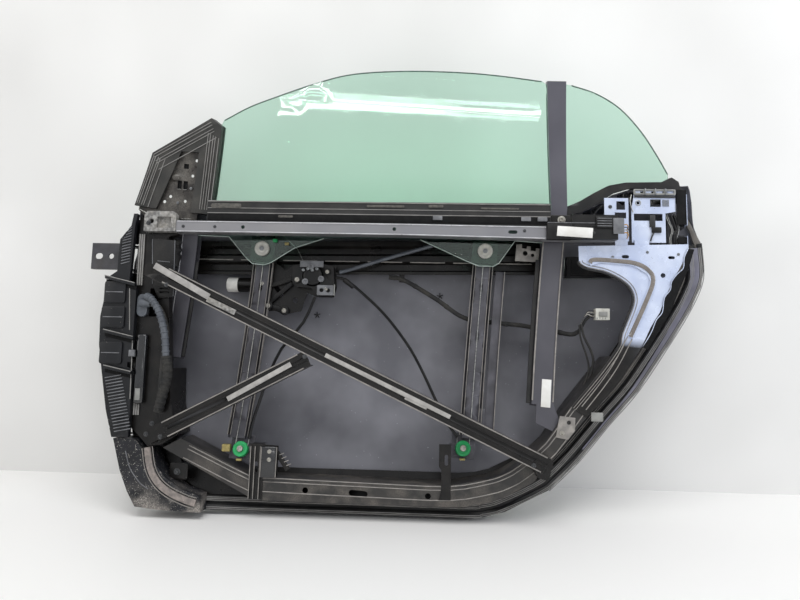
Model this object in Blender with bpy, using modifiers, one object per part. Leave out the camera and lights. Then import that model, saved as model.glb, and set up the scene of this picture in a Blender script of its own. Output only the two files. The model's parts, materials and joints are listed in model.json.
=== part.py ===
"""Right-hand car door shell with its trim taken off, built as the real door is.

The frame is the door as it hangs: +X runs from the hinge side to the latch side, +Y points
out of the car, +Z is up, and the origin is on the upper hinge leaf's mounting face between
its two bolt holes. The window pieces are drawn on the unrolled glass, as (along, depth, up),
and are then bent onto the cylinder that the glass slides on.
"""

import math

import bmesh
import bpy
from mathutils import Matrix, Vector

# General sizes, in metres.
GAP = 0.0003
STEEL = 0.0015
PLASTIC = 0.0025

# The glass cylinder and the way the window travels.
GLASS_RADIUS = 1.450
GLASS_THICKNESS = 0.004
GLASS_TANGENT = Vector((0.560, 0.048, -0.060))
TRAVEL_LEAN = math.radians(4.2)
GLASS_CLEARANCE = 0.0008
WINDOW_TRAVEL = 0.285

# Outer skin.
SKIN_OUT = 0.130
SKIN_THICKNESS = 0.0012
SKIN_CENTRE = Vector((0.640, 0.0, -0.080))
SKIN_UPRIGHT_RADIUS = 1.6
SKIN_PLAN_RADIUS = 6.0
SHOULDER_DEPTH = 0.044
SHOULDER_HEIGHT = 0.085
HEM_DEPTH = 0.014
RIM_WIDTH = 0.088
BELT_HEIGHT = 0.118
REAR_BELT_RISE = 0.052

# Inner frame.
FRAME_FRONT = 0.002
BEAM_FRONT = -0.034
BEAM_WIDTH = 0.033
BEAM_DEPTH = 0.024
BELT_BEAM_FRONT = -0.014
BELT_BEAM_BACK = 0.012

# Hinges.
HINGE_AXIS_X = 0.058
HINGE_AXIS_Y = 0.044
UPPER_HINGE_Z = 0.0
LOWER_HINGE_Z = -0.303
PIN_RADIUS = 0.0049
PIN_CLEARANCE = 0.0001
LEAF_HALF_HEIGHT = 0.028
LEAF_PLATE = 0.004
LEAF_FRONT = -0.029
LEAF_BACK = 0.033
LEAF_BOLTS = (-0.0135, 0.0135)
LOWER_LEAF_SWING = math.radians(-70.0)
PILLAR_FRONT_X = 0.072

# Window lifter.
RAIL_WIDTH = 0.032
RAIL_LIP = 0.006
RAIL_DEPTH = 0.010
FRONT_RAIL_ALONG = -0.238
REAR_RAIL_ALONG = 0.247
FRONT_DISC_UP = 0.072
REAR_DISC_UP = 0.109
FRONT_PULLEY_UP = -0.357
REAR_PULLEY_UP = -0.310
FRONT_RAIL_TOP = 0.110
REAR_RAIL_TOP = 0.150
PULLEY_RADIUS = 0.016
PULLEY_GROOVE = 0.013
PULLEY_HUB = 0.004
CABLE_RADIUS = 0.0009
CONDUIT_RADIUS = 0.0034
CABLE_DEPTH = 0.0142
CABLE_CLEARANCE = 0.0009
CARRIER_CLEARANCE = 0.0008
RAIL_FACE = CABLE_DEPTH + CABLE_RADIUS + CABLE_CLEARANCE

# Outlines as seen from the cabin, (x, z).
SKIN_OUTLINE = [
    (0.054, 0.112), (0.037, 0.048), (0.024, 0.0), (0.020, -0.050), (0.017, -0.130), (0.020, -0.190),
    (0.028, -0.246), (0.042, -0.322), (0.060, -0.388), (0.078, -0.444), (0.098, -0.490),
    (0.120, -0.520), (0.150, -0.527), (0.432, -0.531), (0.768, -0.532), (0.815, -0.528),
    (0.860, -0.516), (0.952, -0.471), (1.016, -0.412), (1.084, -0.334), (1.148, -0.262),
    (1.221, -0.154), (1.262, -0.085), (1.284, -0.035), (1.290, 0.0), (1.286, 0.060),
    (1.240, 0.174), (1.180, 0.172), (1.121, 0.168), (1.085, 0.157), (1.050, 0.134),
    (1.016, 0.121), (0.955, 0.118), (0.560, 0.118), (0.160, 0.118)]
CHANNEL_OUTLINE = [
    (0.150, -0.399), (0.337, -0.494), (0.360, -0.499), (0.603, -0.501), (0.765, -0.500),
    (0.812, -0.492), (0.850, -0.480), (0.912, -0.446), (1.047, -0.279), (1.100, -0.200),
    (1.070, -0.190), (0.990, -0.290), (0.935, -0.368), (0.880, -0.415), (0.850, -0.433),
    (0.818, -0.444), (0.742, -0.458), (0.602, -0.457), (0.364, -0.452), (0.337, -0.450),
    (0.186, -0.379)]
PILLAR_OUTLINE = [
    (PILLAR_FRONT_X, 0.0855), (0.1562, 0.0855), (0.1562, 0.050), (0.136, 0.044), (0.136, -0.040),
    (0.146, -0.095), (0.150, -0.160), (0.163, -0.310), (0.180, -0.372), (0.149, -0.392),
    (0.120, -0.397), (0.104, -0.380), (PILLAR_FRONT_X, -0.350)]
COVER_OUTLINE = [
    (0.064, 0.090), (0.060, 0.064), (0.038, 0.034), (0.0365, 0.0), (0.0365, -0.034),
    (0.020, -0.046), (0.007, -0.130), (0.009, -0.190), (0.019, -0.246), (0.033, -0.322),
    (0.049, -0.378), (0.084, -0.378), (0.084, -0.240), (0.072, -0.235), (0.067, -0.150),
    (0.064, -0.052), (0.068, 0.064), (0.072, 0.090)]
CORNER_COVER_OUTLINE = [
    (0.050, -0.381), (0.068, -0.444), (0.086, -0.486), (0.104, -0.516), (0.158, -0.522),
    (0.240, -0.524), (0.237, -0.492), (0.200, -0.480), (0.163, -0.456), (0.141, -0.430),
    (0.128, -0.402), (0.112, -0.400), (0.096, -0.381)]
LATCH_PLATE_OUTLINE = [
    (1.004, 0.037), (1.005, 0.003), (1.023, -0.009), (1.054, -0.015), (1.082, -0.027),
    (1.106, -0.045), (1.116, -0.068), (1.112, -0.092), (1.091, -0.144), (1.086, -0.169),
    (1.128, -0.174), (1.149, -0.129), (1.168, -0.098), (1.181, -0.064), (1.200, -0.025),
    (1.215, 0.003), (1.229, 0.034), (1.229, 0.044)]
SHUT_FACE_PATH = [
    (1.229, 0.150), (1.229, 0.034), (1.200, -0.025), (1.181, -0.064),
    (1.168, -0.098), (1.149, -0.129), (1.128, -0.174)]

# Outlines on the unrolled glass, (along, up).
MAIN_GLASS_OUTLINE = [
    (-0.360, 0.120), (-0.360, 0.161), (-0.3495, 0.335), (-0.345, 0.346), (-0.290, 0.3776),
    (-0.227, 0.405), (-0.139, 0.440), (-0.063, 0.462), (0.046, 0.475), (0.158, 0.480),
    (0.242, 0.479), (0.330, 0.474), (0.344, 0.466), (0.382, 0.214), (0.382, 0.140),
    (0.309, 0.137), (0.279, 0.086), (0.268, 0.078), (0.236, 0.076), (0.210, 0.084),
    (0.105, 0.122), (-0.105, 0.106), (-0.167, 0.080), (-0.216, 0.043), (-0.230, 0.037),
    (-0.256, 0.037), (-0.270, 0.047), (-0.315, 0.092), (-0.402, 0.088), (-0.402, 0.118)]
QUARTER_GLASS_OUTLINE = [
    (0.372, 0.472), (0.392, 0.470), (0.445, 0.457), (0.498, 0.431), (0.548, 0.388), (0.588, 0.341),
    (0.615, 0.305), (0.617, 0.286), (0.604, 0.279), (0.528, 0.272), (0.500, 0.262),
    (0.472, 0.245), (0.443, 0.226), (0.404, 0.216)]
QUARTER_SEAL_OUTLINE = [
    (0.4125, 0.220), (0.439, 0.234), (0.467, 0.254), (0.494, 0.271), (0.528, 0.280),
    (0.604, 0.287), (0.621, 0.298), (0.636, 0.290), (0.644, 0.2725), (0.539, 0.268),
    (0.505, 0.255), (0.474, 0.229), (0.442, 0.209), (0.4125, 0.200)]
SAIL_SEAL_OUTLINE = [
    (-0.527, 0.142), (-0.495, 0.261), (-0.3675, 0.3455), (-0.3445, 0.330), (-0.3555, 0.161),
    (-0.3555, 0.136), (-0.401, 0.136), (-0.392, 0.270), (-0.431, 0.269), (-0.478, 0.139)]
SAIL_PLATE_OUTLINE = [
    (-0.521, 0.134), (-0.489, 0.256), (-0.379, 0.331), (-0.3872, 0.161), (-0.389, 0.120),
    (-0.496, 0.112)]

OBJECT_NAME = "car_door_shell"


def clear_scene() -> None:
    """Remove every object that the file opens with."""
    for item in list(bpy.data.objects):
        bpy.data.objects.remove(item, do_unlink=True)


def new_collection(name: str) -> bpy.types.Collection:
    """Make a collection in the scene."""
    collection = bpy.data.collections.new(name)
    bpy.context.scene.collection.children.link(collection)
    return collection


clear_scene()
PARTS = new_collection(OBJECT_NAME)
CUTTERS = new_collection("cutters")


def material(name, colour, roughness, metallic=0.0, transmission=0.0):
    """Make a Principled material."""
    made = bpy.data.materials.new(name)
    made.use_nodes = True
    shader = made.node_tree.nodes["Principled BSDF"]
    shader.inputs["Base Color"].default_value = (*colour, 1.0)
    shader.inputs["Roughness"].default_value = roughness
    shader.inputs["Metallic"].default_value = metallic
    shader.inputs["Transmission Weight"].default_value = transmission
    return made


BLACK_PAINT = material("black_paint", (0.025, 0.025, 0.027), 0.35)
SKIN_COAT = material("skin_coat", (0.045, 0.047, 0.055), 0.85)
BLUE_GREY_PAINT = material("blue_grey_paint", (0.30, 0.33, 0.38), 0.30)
GREY_METAL = material("grey_metal", (0.30, 0.30, 0.29), 0.38, 0.9)
GALVANISED = material("galvanised", (0.45, 0.44, 0.42), 0.6, 0.8)
BLACK_PLASTIC = material("black_plastic", (0.022, 0.022, 0.023), 0.55)
GREY_PLASTIC = material("grey_plastic", (0.12, 0.12, 0.12), 0.6)
RUBBER = material("rubber", (0.018, 0.018, 0.018), 0.75)
GREEN_GLASS = material("green_glass", (0.62, 0.82, 0.73), 0.03, 0.0, 0.9)
GREEN_PLASTIC = material("green_plastic", (0.03, 0.45, 0.16), 0.4)
WHITE_PLASTIC = material("white_plastic", (0.75, 0.74, 0.70), 0.45)
HINGE_STEEL = material("hinge_steel", (0.16, 0.16, 0.165), 0.45, 0.7)
BRIGHT_STEEL = material("bright_steel", (0.62, 0.62, 0.60), 0.25, 1.0)
TAPE = material("cloth_tape", (0.03, 0.03, 0.03), 0.9)


def add_object(name, mesh, paint=None, collection=None):
    """Link a mesh to the scene as a named object."""
    made = bpy.data.objects.new(name, mesh)
    (collection or PARTS).objects.link(made)
    if paint is not None:
        mesh.materials.clear()
        mesh.materials.append(paint)
    return made


def as_cutter(item):
    """Move an object to the cutters, where it is drawn as wire and not rendered."""
    for collection in list(item.users_collection):
        collection.objects.unlink(item)
    CUTTERS.objects.link(item)
    item.hide_render = True
    item.display_type = "WIRE"
    return item


def baked_mesh(item):
    """Return the object's evaluated mesh, welded, with its faces pointing out."""
    graph = bpy.context.evaluated_depsgraph_get()
    mesh = bpy.data.meshes.new_from_object(item.evaluated_get(graph))
    work = bmesh.new()
    work.from_mesh(mesh)
    bmesh.ops.remove_doubles(work, verts=work.verts, dist=0.000001)
    bmesh.ops.recalc_face_normals(work, faces=work.faces)
    work.to_mesh(mesh)
    work.free()
    return mesh


def bake(item):
    """Replace an object's mesh by its evaluated mesh and drop its modifiers."""
    mesh = baked_mesh(item)
    item.modifiers.clear()
    item.data = mesh
    return item


def combine(item, tool, operation):
    """Add an exact Boolean, with its tool kept among the cutters, and bake it."""
    as_cutter(tool)
    change = item.modifiers.new(operation.lower(), "BOOLEAN")
    change.operation = operation
    change.object = tool
    change.solver = "EXACT"
    return bake(item)


def cut(item, tool):
    """Cut one object by another."""
    return combine(item, tool, "DIFFERENCE")


def fuse(item, tool):
    """Join one object to another as a single body."""
    return combine(item, tool, "UNION")


def orient(x_axis, y_axis, origin=(0.0, 0.0, 0.0)):
    """Matrix that lays local x and y along two world directions."""
    first = Vector(x_axis).normalized()
    third = first.cross(Vector(y_axis)).normalized()
    second = third.cross(first)
    matrix = Matrix((first, second, third)).transposed().to_4x4()
    matrix.translation = Vector(origin)
    return matrix


FACING_CABIN = orient((1, 0, 0), (0, 0, 1))
LOOKING_DOWN = orient((1, 0, 0), (0, 1, 0))
LOOKING_ALONG = orient((0, 1, 0), (0, 0, 1))


def extrusion(name, outlines, low, high, matrix, paint=None):
    """Extrude a flat outline, with further outlines as its holes, from low to high."""
    curve = bpy.data.curves.new(name + "_outline", "CURVE")
    curve.dimensions = "2D"
    curve.fill_mode = "BOTH"
    curve.extrude = (high - low) / 2.0
    for outline in outlines:
        spline = curve.splines.new("POLY")
        spline.points.add(len(outline) - 1)
        for point, (x, y) in zip(spline.points, outline):
            point.co = (x, y, 0.0, 1.0)
        spline.use_cyclic_u = True
    drawing = bpy.data.objects.new(name + "_drawing", curve)
    CUTTERS.objects.link(drawing)
    mesh = baked_mesh(drawing)
    bpy.data.objects.remove(drawing, do_unlink=True)
    mesh.transform(matrix @ Matrix.Translation((0.0, 0.0, (low + high) / 2.0)))
    return add_object(name, mesh, paint)


def sheet(name, outline, front, back, paint=None, holes=()):
    """Flat piece facing the cabin between two depths."""
    return extrusion(name, [outline, *holes], -back, -front, FACING_CABIN, paint)


def rectangle(left, bottom, right, top):
    """Corners of a rectangle."""
    return [(left, bottom), (right, bottom), (right, top), (left, top)]


def circle(x, y, radius, points=14):
    """Points of a circle."""
    return [(x + radius * math.cos(2 * math.pi * i / points),
             y + radius * math.sin(2 * math.pi * i / points)) for i in range(points)]


def slot(start, end, radius, points=4):
    """Outline with round ends about the line from start to end."""
    way = math.atan2(end[1] - start[1], end[0] - start[0])
    outline = []
    for centre, turn in ((end, -0.5), (start, 0.5)):
        for i in range(points + 1):
            angle = way + math.pi * (turn + i / points)
            outline.append((centre[0] + radius * math.cos(angle), centre[1] + radius * math.sin(angle)))
    return outline


def box(name, low, high, paint=None):
    """Box between two corners."""
    work = bmesh.new()
    size = Vector(high) - Vector(low)
    middle = (Vector(high) + Vector(low)) / 2.0
    bmesh.ops.create_cube(work, size=1.0, matrix=Matrix.Translation(middle) @ Matrix.Diagonal((*size, 1.0)))
    mesh = bpy.data.meshes.new(name)
    work.to_mesh(mesh)
    work.free()
    return add_object(name, mesh, paint)


def cylinder(name, start, end, radius, paint=None, segments=20, end_radius=None):
    """Cylinder or cone from one point to another."""
    start, end = Vector(start), Vector(end)
    way = end - start
    matrix = Matrix.Translation((start + end) / 2.0) @ way.to_track_quat("Z", "Y").to_matrix().to_4x4()
    work = bmesh.new()
    bmesh.ops.create_cone(
        work, cap_ends=True, segments=segments, radius1=radius,
        radius2=radius if end_radius is None else end_radius, depth=way.length, matrix=matrix)
    mesh = bpy.data.meshes.new(name)
    work.to_mesh(mesh)
    work.free()
    return add_object(name, mesh, paint)


def turned(name, profile, start, axis, paint, steps=24):
    """Turn a (radius, height) profile, closed or from axis to axis, about an axis through start."""
    mesh = bpy.data.meshes.new(name)
    count = len(profile)
    solid = profile[0][0] == 0.0
    mesh.from_pydata([(radius, 0.0, height) for radius, height in profile],
                     [(i, (i + 1) % count) for i in range(count - solid)], [])
    made = add_object(name, mesh, paint)
    screw = made.modifiers.new("turn", "SCREW")
    screw.steps = steps
    screw.render_steps = steps
    screw.use_merge_vertices = True
    screw.merge_threshold = 0.00001
    bake(made)
    matrix = Vector(axis).to_track_quat("Z", "Y").to_matrix().to_4x4()
    matrix.translation = Vector(start)
    made.data.transform(matrix)
    made.data.materials.clear()
    made.data.materials.append(paint)
    return made


def smooth_path(points, steps=3):
    """Points along a smooth curve through the given points."""
    nodes = [Vector(point) for point in points]
    nodes = [2 * nodes[0] - nodes[1], *nodes, 2 * nodes[-1] - nodes[-2]]
    path = []
    for before, start, end, after in zip(nodes, nodes[1:], nodes[2:], nodes[3:]):
        for i in range(steps):
            t = i / steps
            path.append(0.5 * (2 * start + (end - before) * t
                               + (2 * before - 5 * start + 4 * end - after) * t ** 2
                               + (3 * start - before - 3 * end + after) * t ** 3))
    path.append(nodes[-2])
    return path


def tube(name, path, radius, paint, resolution=1):
    """Round tube along a path, with filled ends."""
    curve = bpy.data.curves.new(name, "CURVE")
    curve.dimensions = "3D"
    curve.bevel_depth = radius
    curve.bevel_resolution = resolution
    curve.use_fill_caps = True
    spline = curve.splines.new("POLY")
    spline.points.add(len(path) - 1)
    for point, place in zip(spline.points, path):
        point.co = (*place, 1.0)
    curve.materials.append(paint)
    made = bpy.data.objects.new(name, curve)
    PARTS.objects.link(made)
    return made


def offset(outline, distance):
    """Grow a closed outline by a distance, or shrink it by a negative one."""
    count = len(outline)
    area = sum(outline[i][0] * outline[(i + 1) % count][1] - outline[(i + 1) % count][0] * outline[i][1]
               for i in range(count))
    side = distance if area > 0 else -distance
    moved = []
    for i, point in enumerate(outline):
        here = Vector(point)
        back = (here - Vector(outline[i - 1])).normalized()
        ahead = (Vector(outline[(i + 1) % count]) - here).normalized()
        normal = Vector((back.y + ahead.y, -back.x - ahead.x)).normalized()
        spread = max(0.35, normal.dot(Vector((ahead.y, -ahead.x))))
        moved.append(tuple(here + normal * side / spread))
    return moved


def ribbon(path, thickness):
    """Closed outline of a strip of the given thickness that follows an open path."""
    left, right = [], []
    for i, point in enumerate(path):
        here = Vector(point)
        back = (here - Vector(path[i - 1])).normalized() if i else None
        ahead = (Vector(path[i + 1]) - here).normalized() if i + 1 < len(path) else back
        back = back or ahead
        normal = Vector((back.y + ahead.y, -back.x - ahead.x)).normalized()
        reach = thickness / 2.0 / max(0.35, normal.dot(Vector((ahead.y, -ahead.x))))
        left.append(tuple(here + normal * reach))
        right.append(tuple(here - normal * reach))
    return left + right[::-1]


def pan(name, outline, front, back, wall, paint, holes=()):
    """Pressed tray: a front face with walls all round that run outboard."""
    made = sheet(name, outline, front, back, paint, holes)
    return cut(made, sheet(name + "_inside", offset(outline, -wall), front + wall, back + 0.01))


def glass_point(along, depth, up):
    """Place of a point of the unrolled glass, with depth counted outboard."""
    angle = up / GLASS_RADIUS
    axis = Vector((math.cos(TRAVEL_LEAN), 0.0, -math.sin(TRAVEL_LEAN)))
    rise = Vector((math.sin(TRAVEL_LEAN), 0.0, math.cos(TRAVEL_LEAN)))
    outward = Vector((0.0, 1.0, 0.0))
    reach = GLASS_RADIUS + depth
    return (GLASS_TANGENT + axis * along + rise * reach * math.sin(angle)
            + outward * (reach * math.cos(angle) - GLASS_RADIUS))


def glass_normal(up):
    """Outboard direction of the glass at a height on the unrolled glass."""
    return (glass_point(0.0, 1.0, up) - glass_point(0.0, 0.0, up)).normalized()


GLASS_SLICE = 0.050


def slice_mesh(work, normal, step):
    """Cut every face at even steps along one direction."""
    places = [vert.co.dot(normal) for vert in work.verts]
    first = math.ceil(min(places) / step)
    last = math.floor(max(places) / step)
    for count in range(first, last + 1):
        geometry = work.verts[:] + work.edges[:] + work.faces[:]
        bmesh.ops.bisect_plane(work, geom=geometry, dist=0.000001, plane_co=normal * (count * step),
                               plane_no=normal)


def bend(item, place, steps):
    """Slice a baked mesh and move each of its points by a function."""
    bake(item)
    work = bmesh.new()
    work.from_mesh(item.data)
    for normal, step in steps:
        slice_mesh(work, Vector(normal), step)
    bmesh.ops.triangulate(work, faces=work.faces)
    for vert in work.verts:
        vert.co = place(vert.co)
    bmesh.ops.recalc_face_normals(work, faces=work.faces)
    work.to_mesh(item.data)
    work.free()
    return item


def wrap(item):
    """Bend a piece from the unrolled glass onto the glass cylinder."""
    return bend(item, lambda co: glass_point(*co), [((0, 0, 1), GLASS_SLICE)])


def ease(value):
    """Smooth step from 0 to 1."""
    value = min(1.0, max(0.0, value))
    return value * value * (3.0 - 2.0 * value)


def skin_depth(x, z):
    """Depth of the outer skin's outside at a place seen from the cabin."""
    belt = BELT_HEIGHT + REAR_BELT_RISE * ease((x - 1.0) / 0.12)
    shoulder = SHOULDER_DEPTH * ease(1.0 - (belt - z) / SHOULDER_HEIGHT)
    return (SKIN_OUT - (z - SKIN_CENTRE.z) ** 2 / (2.0 * SKIN_UPRIGHT_RADIUS)
            - (x - SKIN_CENTRE.x) ** 2 / (2.0 * SKIN_PLAN_RADIUS) - shoulder)


def follow_skin(item):
    """Shape a flat piece, drawn about depth 0, to the outer skin."""
    return bend(item, lambda co: Vector((co.x, co.y + skin_depth(co.x, co.z), co.z)),
                [((1, 0, 0), 0.200), ((0, 0, 1), 0.060)])


def skin_cutter(depth):
    """Cutter for all that lies outboard of a depth under the skin's outside."""
    low, high = -0.560, 0.230
    made = sheet("skin_side", rectangle(-0.060, low, 1.330, high), depth, 0.080)
    return as_cutter(follow_skin(made))


def skin_space_cutter():
    """Cutter for the space that the skin and its hem take up."""
    return as_cutter(follow_skin(sheet("skin_space", offset(SKIN_OUTLINE, GAP), -HEM_DEPTH - SKIN_GAP, 0.080)))


def glass_side_cutter(low, high):
    """Cutter for the space between two depths about the sliding glass."""
    left, bottom, right, top = -0.450, -0.020, 0.420, 0.300
    return as_cutter(wrap(sheet("glass_side", rectangle(left, bottom, right, top), low, high)))


def main_glass_cutter():
    """The main glass with its clearance, still on the unrolled glass."""
    half = GLASS_THICKNESS / 2.0 + GLASS_CLEARANCE
    return sheet("main_glass_space", offset(MAIN_GLASS_OUTLINE, GLASS_CLEARANCE), -half, half)


def set_origin(item, point):
    """Move an object's origin to a point without moving its shape."""
    point = Vector(point)
    item.data.transform(Matrix.Translation(-point))
    item.location = point
    return item


def outer_skin():
    """Outer skin: a thin crowned panel with a hem all round, cut for the handle and the lock."""
    flat = sheet("outer_skin", SKIN_OUTLINE, -HEM_DEPTH, 0.0, SKIN_COAT)
    inside = offset(SKIN_OUTLINE, -SKIN_THICKNESS)
    cut(flat, sheet("skin_inside", inside, -HEM_DEPTH - 0.01, -SKIN_THICKNESS))
    skin = follow_skin(flat)
    cut(skin, sheet("handle_opening", HANDLE_OUTLINE, 0.060, 0.150))
    cut(skin, sheet("lock_opening", circle(*LOCK_PLACE, LOCK_RADIUS + GAP), 0.060, 0.150))
    return skin


# Outer handle and lock, on the hidden side.
HANDLE_LEFT = 1.000
HANDLE_RIGHT = 1.140
HANDLE_LOW = -0.015
HANDLE_HIGH = 0.030
HANDLE_OUTLINE = rectangle(HANDLE_LEFT, HANDLE_LOW, HANDLE_RIGHT, HANDLE_HIGH)
HANDLE_CUP_DEPTH = 0.026
FLAP_MARGIN = 0.0012
FLAP_THICKNESS = 0.005
LOCK_PLACE = (1.168, 0.008)
LOCK_RADIUS = 0.009


def inner_rim():
    """Steel rim that closes the door's edge, just inside the skin's hem."""
    outer = offset(SKIN_OUTLINE, -SKIN_THICKNESS - GAP)
    inner = offset(SKIN_OUTLINE, -RIM_WIDTH)
    top_front, top_rear = 1, 25
    band = outer[top_front:top_rear + 1] + inner[top_front:top_rear + 1][::-1]
    made = sheet("inner_rim", band, -0.0120 - STEEL, -0.0120, BLACK_PAINT)
    return follow_skin(made)


RIM_FRONT = -0.0120 - STEEL
SKIN_GAP = 0.0008


def perimeter_seal():
    """Rubber seal that lies on the rim, just inside the hem."""
    outer = offset(SKIN_OUTLINE, -SKIN_THICKNESS - 0.0012)
    inner = offset(SKIN_OUTLINE, -0.030)
    first, last = 11, 25
    band = outer[first:last + 1] + inner[first:last + 1][::-1]
    made = sheet("perimeter_seal", band, RIM_FRONT - SKIN_GAP - 0.013, RIM_FRONT - SKIN_GAP, RUBBER)
    groove_out = offset(SKIN_OUTLINE, -0.013)
    groove_in = offset(SKIN_OUTLINE, -0.018)
    groove = groove_out[first - 1:last + 2] + groove_in[first - 1:last + 2][::-1]
    cut(made, sheet("seal_groove", groove, RIM_FRONT - 0.020, RIM_FRONT - 0.008))
    return follow_skin(made)


def bottom_channel():
    """Box channel along the foot and up the rear of the door."""
    made = pan("bottom_channel", CHANNEL_OUTLINE, FRAME_FRONT + 0.003, 0.110, STEEL, BLACK_PAINT,
               [slot((0.545, -0.478), (0.572, -0.480), 0.006), circle(0.700, -0.480, 0.006),
                circle(0.450, -0.476, 0.006)])
    return cut(made, skin_cutter(RIM_FRONT - SKIN_GAP))


def hinge_pillar():
    """Front box post that carries both hinges."""
    pockets = [rectangle(0.104, -0.092, 0.130, -0.068), rectangle(0.104, -0.128, 0.130, -0.102),
               slot((0.102, 0.036), (0.114, 0.036), 0.003)]
    made = pan("hinge_pillar", PILLAR_OUTLINE, 0.0, 0.115, STEEL, BLACK_PAINT, pockets)
    cut(made, box("guide_space", (0.1120, 0.018, -0.235), (0.2000, 0.130, 0.100)))
    return cut(made, skin_cutter(RIM_FRONT - SKIN_GAP))


def latch_plate():
    """Painted plate round the latch with its rolled rib, holes and shut face."""
    holes = [circle(1.176, -0.022, 0.005, 12), slot((1.096, 0.016), (1.104, 0.016), 0.0035),
             slot((1.190, 0.0155), (1.198, 0.0155), 0.003)]
    made = sheet("latch_plate", LATCH_PLATE_OUTLINE, FRAME_FRONT, 0.110, BLUE_GREY_PAINT)
    inside = [(x - STEEL * 1.1, z) for x, z in SHUT_FACE_PATH[1:-1]]
    inside = [(inside[0][0], 0.060), *inside, (1.1185, -0.190), (0.990, -0.190), (0.990, 0.060)]
    cut(made, sheet("plate_inside", inside, FRAME_FRONT + STEEL, 0.200))
    for hole in holes:
        cut(made, sheet("plate_hole", hole, FRAME_FRONT - 0.01, FRAME_FRONT + 0.01))
    fuse(made, box("shut_face_top", (1.2277, FRAME_FRONT + 0.0004, 0.0380), (1.2287, 0.109, 0.150)))
    rib = [(1.026, 0.000), (1.048, 0.009), (1.100, 0.005), (1.121, 0.000), (1.148, -0.017),
           (1.155, -0.036), (1.140, -0.075), (1.106, -0.150)]
    fuse(made, sheet("latch_rib", ribbon(rib, 0.011), FRAME_FRONT - 0.0030, FRAME_FRONT + 0.0005))
    hollow = [(1.0282, 0.0009), *rib[1:-1], (1.1070, -0.1477)]
    cut(made, sheet("latch_rib_inside", ribbon(hollow, 0.0078), FRAME_FRONT - 0.0015, FRAME_FRONT + 0.004))
    cut(made, box("striker_mouth", (1.200, -0.010, LATCH_MOUTH_Z - 0.011),
                  (1.245, 0.050, LATCH_MOUTH_Z + 0.011)))
    return cut(made, skin_cutter(RIM_FRONT - SKIN_GAP))


LATCH_MOUTH_Z = 0.073
LATCH_X = (1.192, 1.2270)
LATCH_Y = (0.016, 0.066)
LATCH_Z = (0.040, 0.108)
CLAW_PIVOT = (0.044, 0.086)
CLAW_X = (1.212, 1.218)


def rear_plates():
    """Two small painted plates that hold the foot of the quarter window."""
    inner_outline = [(1.0765, 0.050), (1.110, 0.050), (1.110, 0.142), (1.060, 0.142), (1.060, 0.0765),
                     (1.0765, 0.0765)]
    inner = sheet("rear_plate_inner", inner_outline, 0.008, 0.0095, BLUE_GREY_PAINT,
                  [rectangle(1.085, 0.117, 1.103, 0.135), rectangle(1.0815, 0.0985, 1.1050, 0.1110)])
    outline = [(1.116, 0.0475), (1.186, 0.0475), (1.186, 0.110), (1.207, 0.114), (1.207, 0.160),
               (1.121, 0.160), (1.121, 0.145), (1.116, 0.118)]
    teeth = [rectangle(x, 0.151, x + 0.010, 0.157) for x in (1.135, 1.158, 1.181)]
    outer = sheet("rear_plate_outer", outline, 0.008, 0.0095, BLUE_GREY_PAINT,
                  [rectangle(1.155, 0.124, 1.177, 0.140), circle(1.130, 0.132, 0.0035, 12),
                   rectangle(1.1210, 0.0940, 1.1800, 0.1090), *teeth])
    fuse(inner, box("inner_plate_foot", (1.080, 0.0038, 0.0300), (1.106, 0.0055, 0.0520)))
    fuse(inner, box("inner_plate_step", (1.080, 0.0038, 0.0504), (1.106, 0.0092, 0.0520)))
    fuse(inner, box("inner_plate_flange", (1.0604, 0.0083, 0.1403), (1.1096, 0.0170, 0.1417)))
    fuse(outer, box("outer_plate_foot", (1.1200, 0.0038, 0.0300), (1.1500, 0.0055, 0.0520)))
    fuse(outer, box("outer_plate_step", (1.1200, 0.0038, 0.0504), (1.1500, 0.0092, 0.0520)))
    return inner, outer


def belt_beam():
    """Shallow channel beam along the belt line, open outboard."""
    outline = [(0.1565, 0.0520), (0.632, 0.0515), (0.944, 0.0470), (1.075, 0.0450), (1.075, 0.0705),
               (0.944, 0.0738), (0.632, 0.0760), (0.1565, 0.0765)]
    made = pan("belt_beam", outline, BELT_BEAM_FRONT, BELT_BEAM_BACK, STEEL, GREY_METAL,
               [circle(0.300, 0.064, 0.004, 12), circle(0.620, 0.064, 0.004, 12),
                slot((0.860, 0.0612), (0.872, 0.0612), 0.0036)])
    return made


def corner_block():
    """Galvanised casting at the front end of the belt beam."""
    outline = [(0.088, 0.0525), (0.156, 0.0525), (0.156, 0.0900), (0.150, 0.0960), (0.094, 0.0960),
               (0.088, 0.0880)]
    made = sheet("corner_block", outline, -0.016, -GAP, GALVANISED, [circle(0.104, 0.074, 0.005, 12)])
    cut(made, box("block_pocket", (0.116, -0.020, 0.060), (0.146, -0.008, 0.084)))
    return made


def outer_belt_reinforcement():
    """Corrugated sheet that stiffens the skin under the belt line."""
    crest, valley = 0.0885, 0.0980
    profile = [(crest, -0.024), (crest, -0.018), (valley, -0.014), (valley, 0.000), (crest, 0.006),
               (crest, 0.018), (valley, 0.024), (valley, 0.036), (crest, 0.042), (crest, 0.052)]
    start = Vector((0.1364, 0.0, 0.0))
    end = Vector((0.985, 0.0, 0.012))
    along = (end - start)
    matrix = orient((0, 1, 0), (0, 0, 1), start)
    made = extrusion("outer_belt_reinforcement", [ribbon(profile, STEEL)], 0.0, along.length, matrix,
                     BLACK_PAINT)
    shear = Matrix.Identity(4)
    shear[2][0] = along.z / along.x
    shear[2][3] = -start.x * along.z / along.x
    made.data.transform(shear)
    fuse(made, box("harness_clip_root", (0.6280, 0.0879, -0.0166), (0.6400, 0.0924, -0.0126)))
    fuse(made, box("harness_clip", (0.6282, 0.0913, -0.0340), (0.6398, 0.0926, -0.0130)))
    return made


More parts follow.
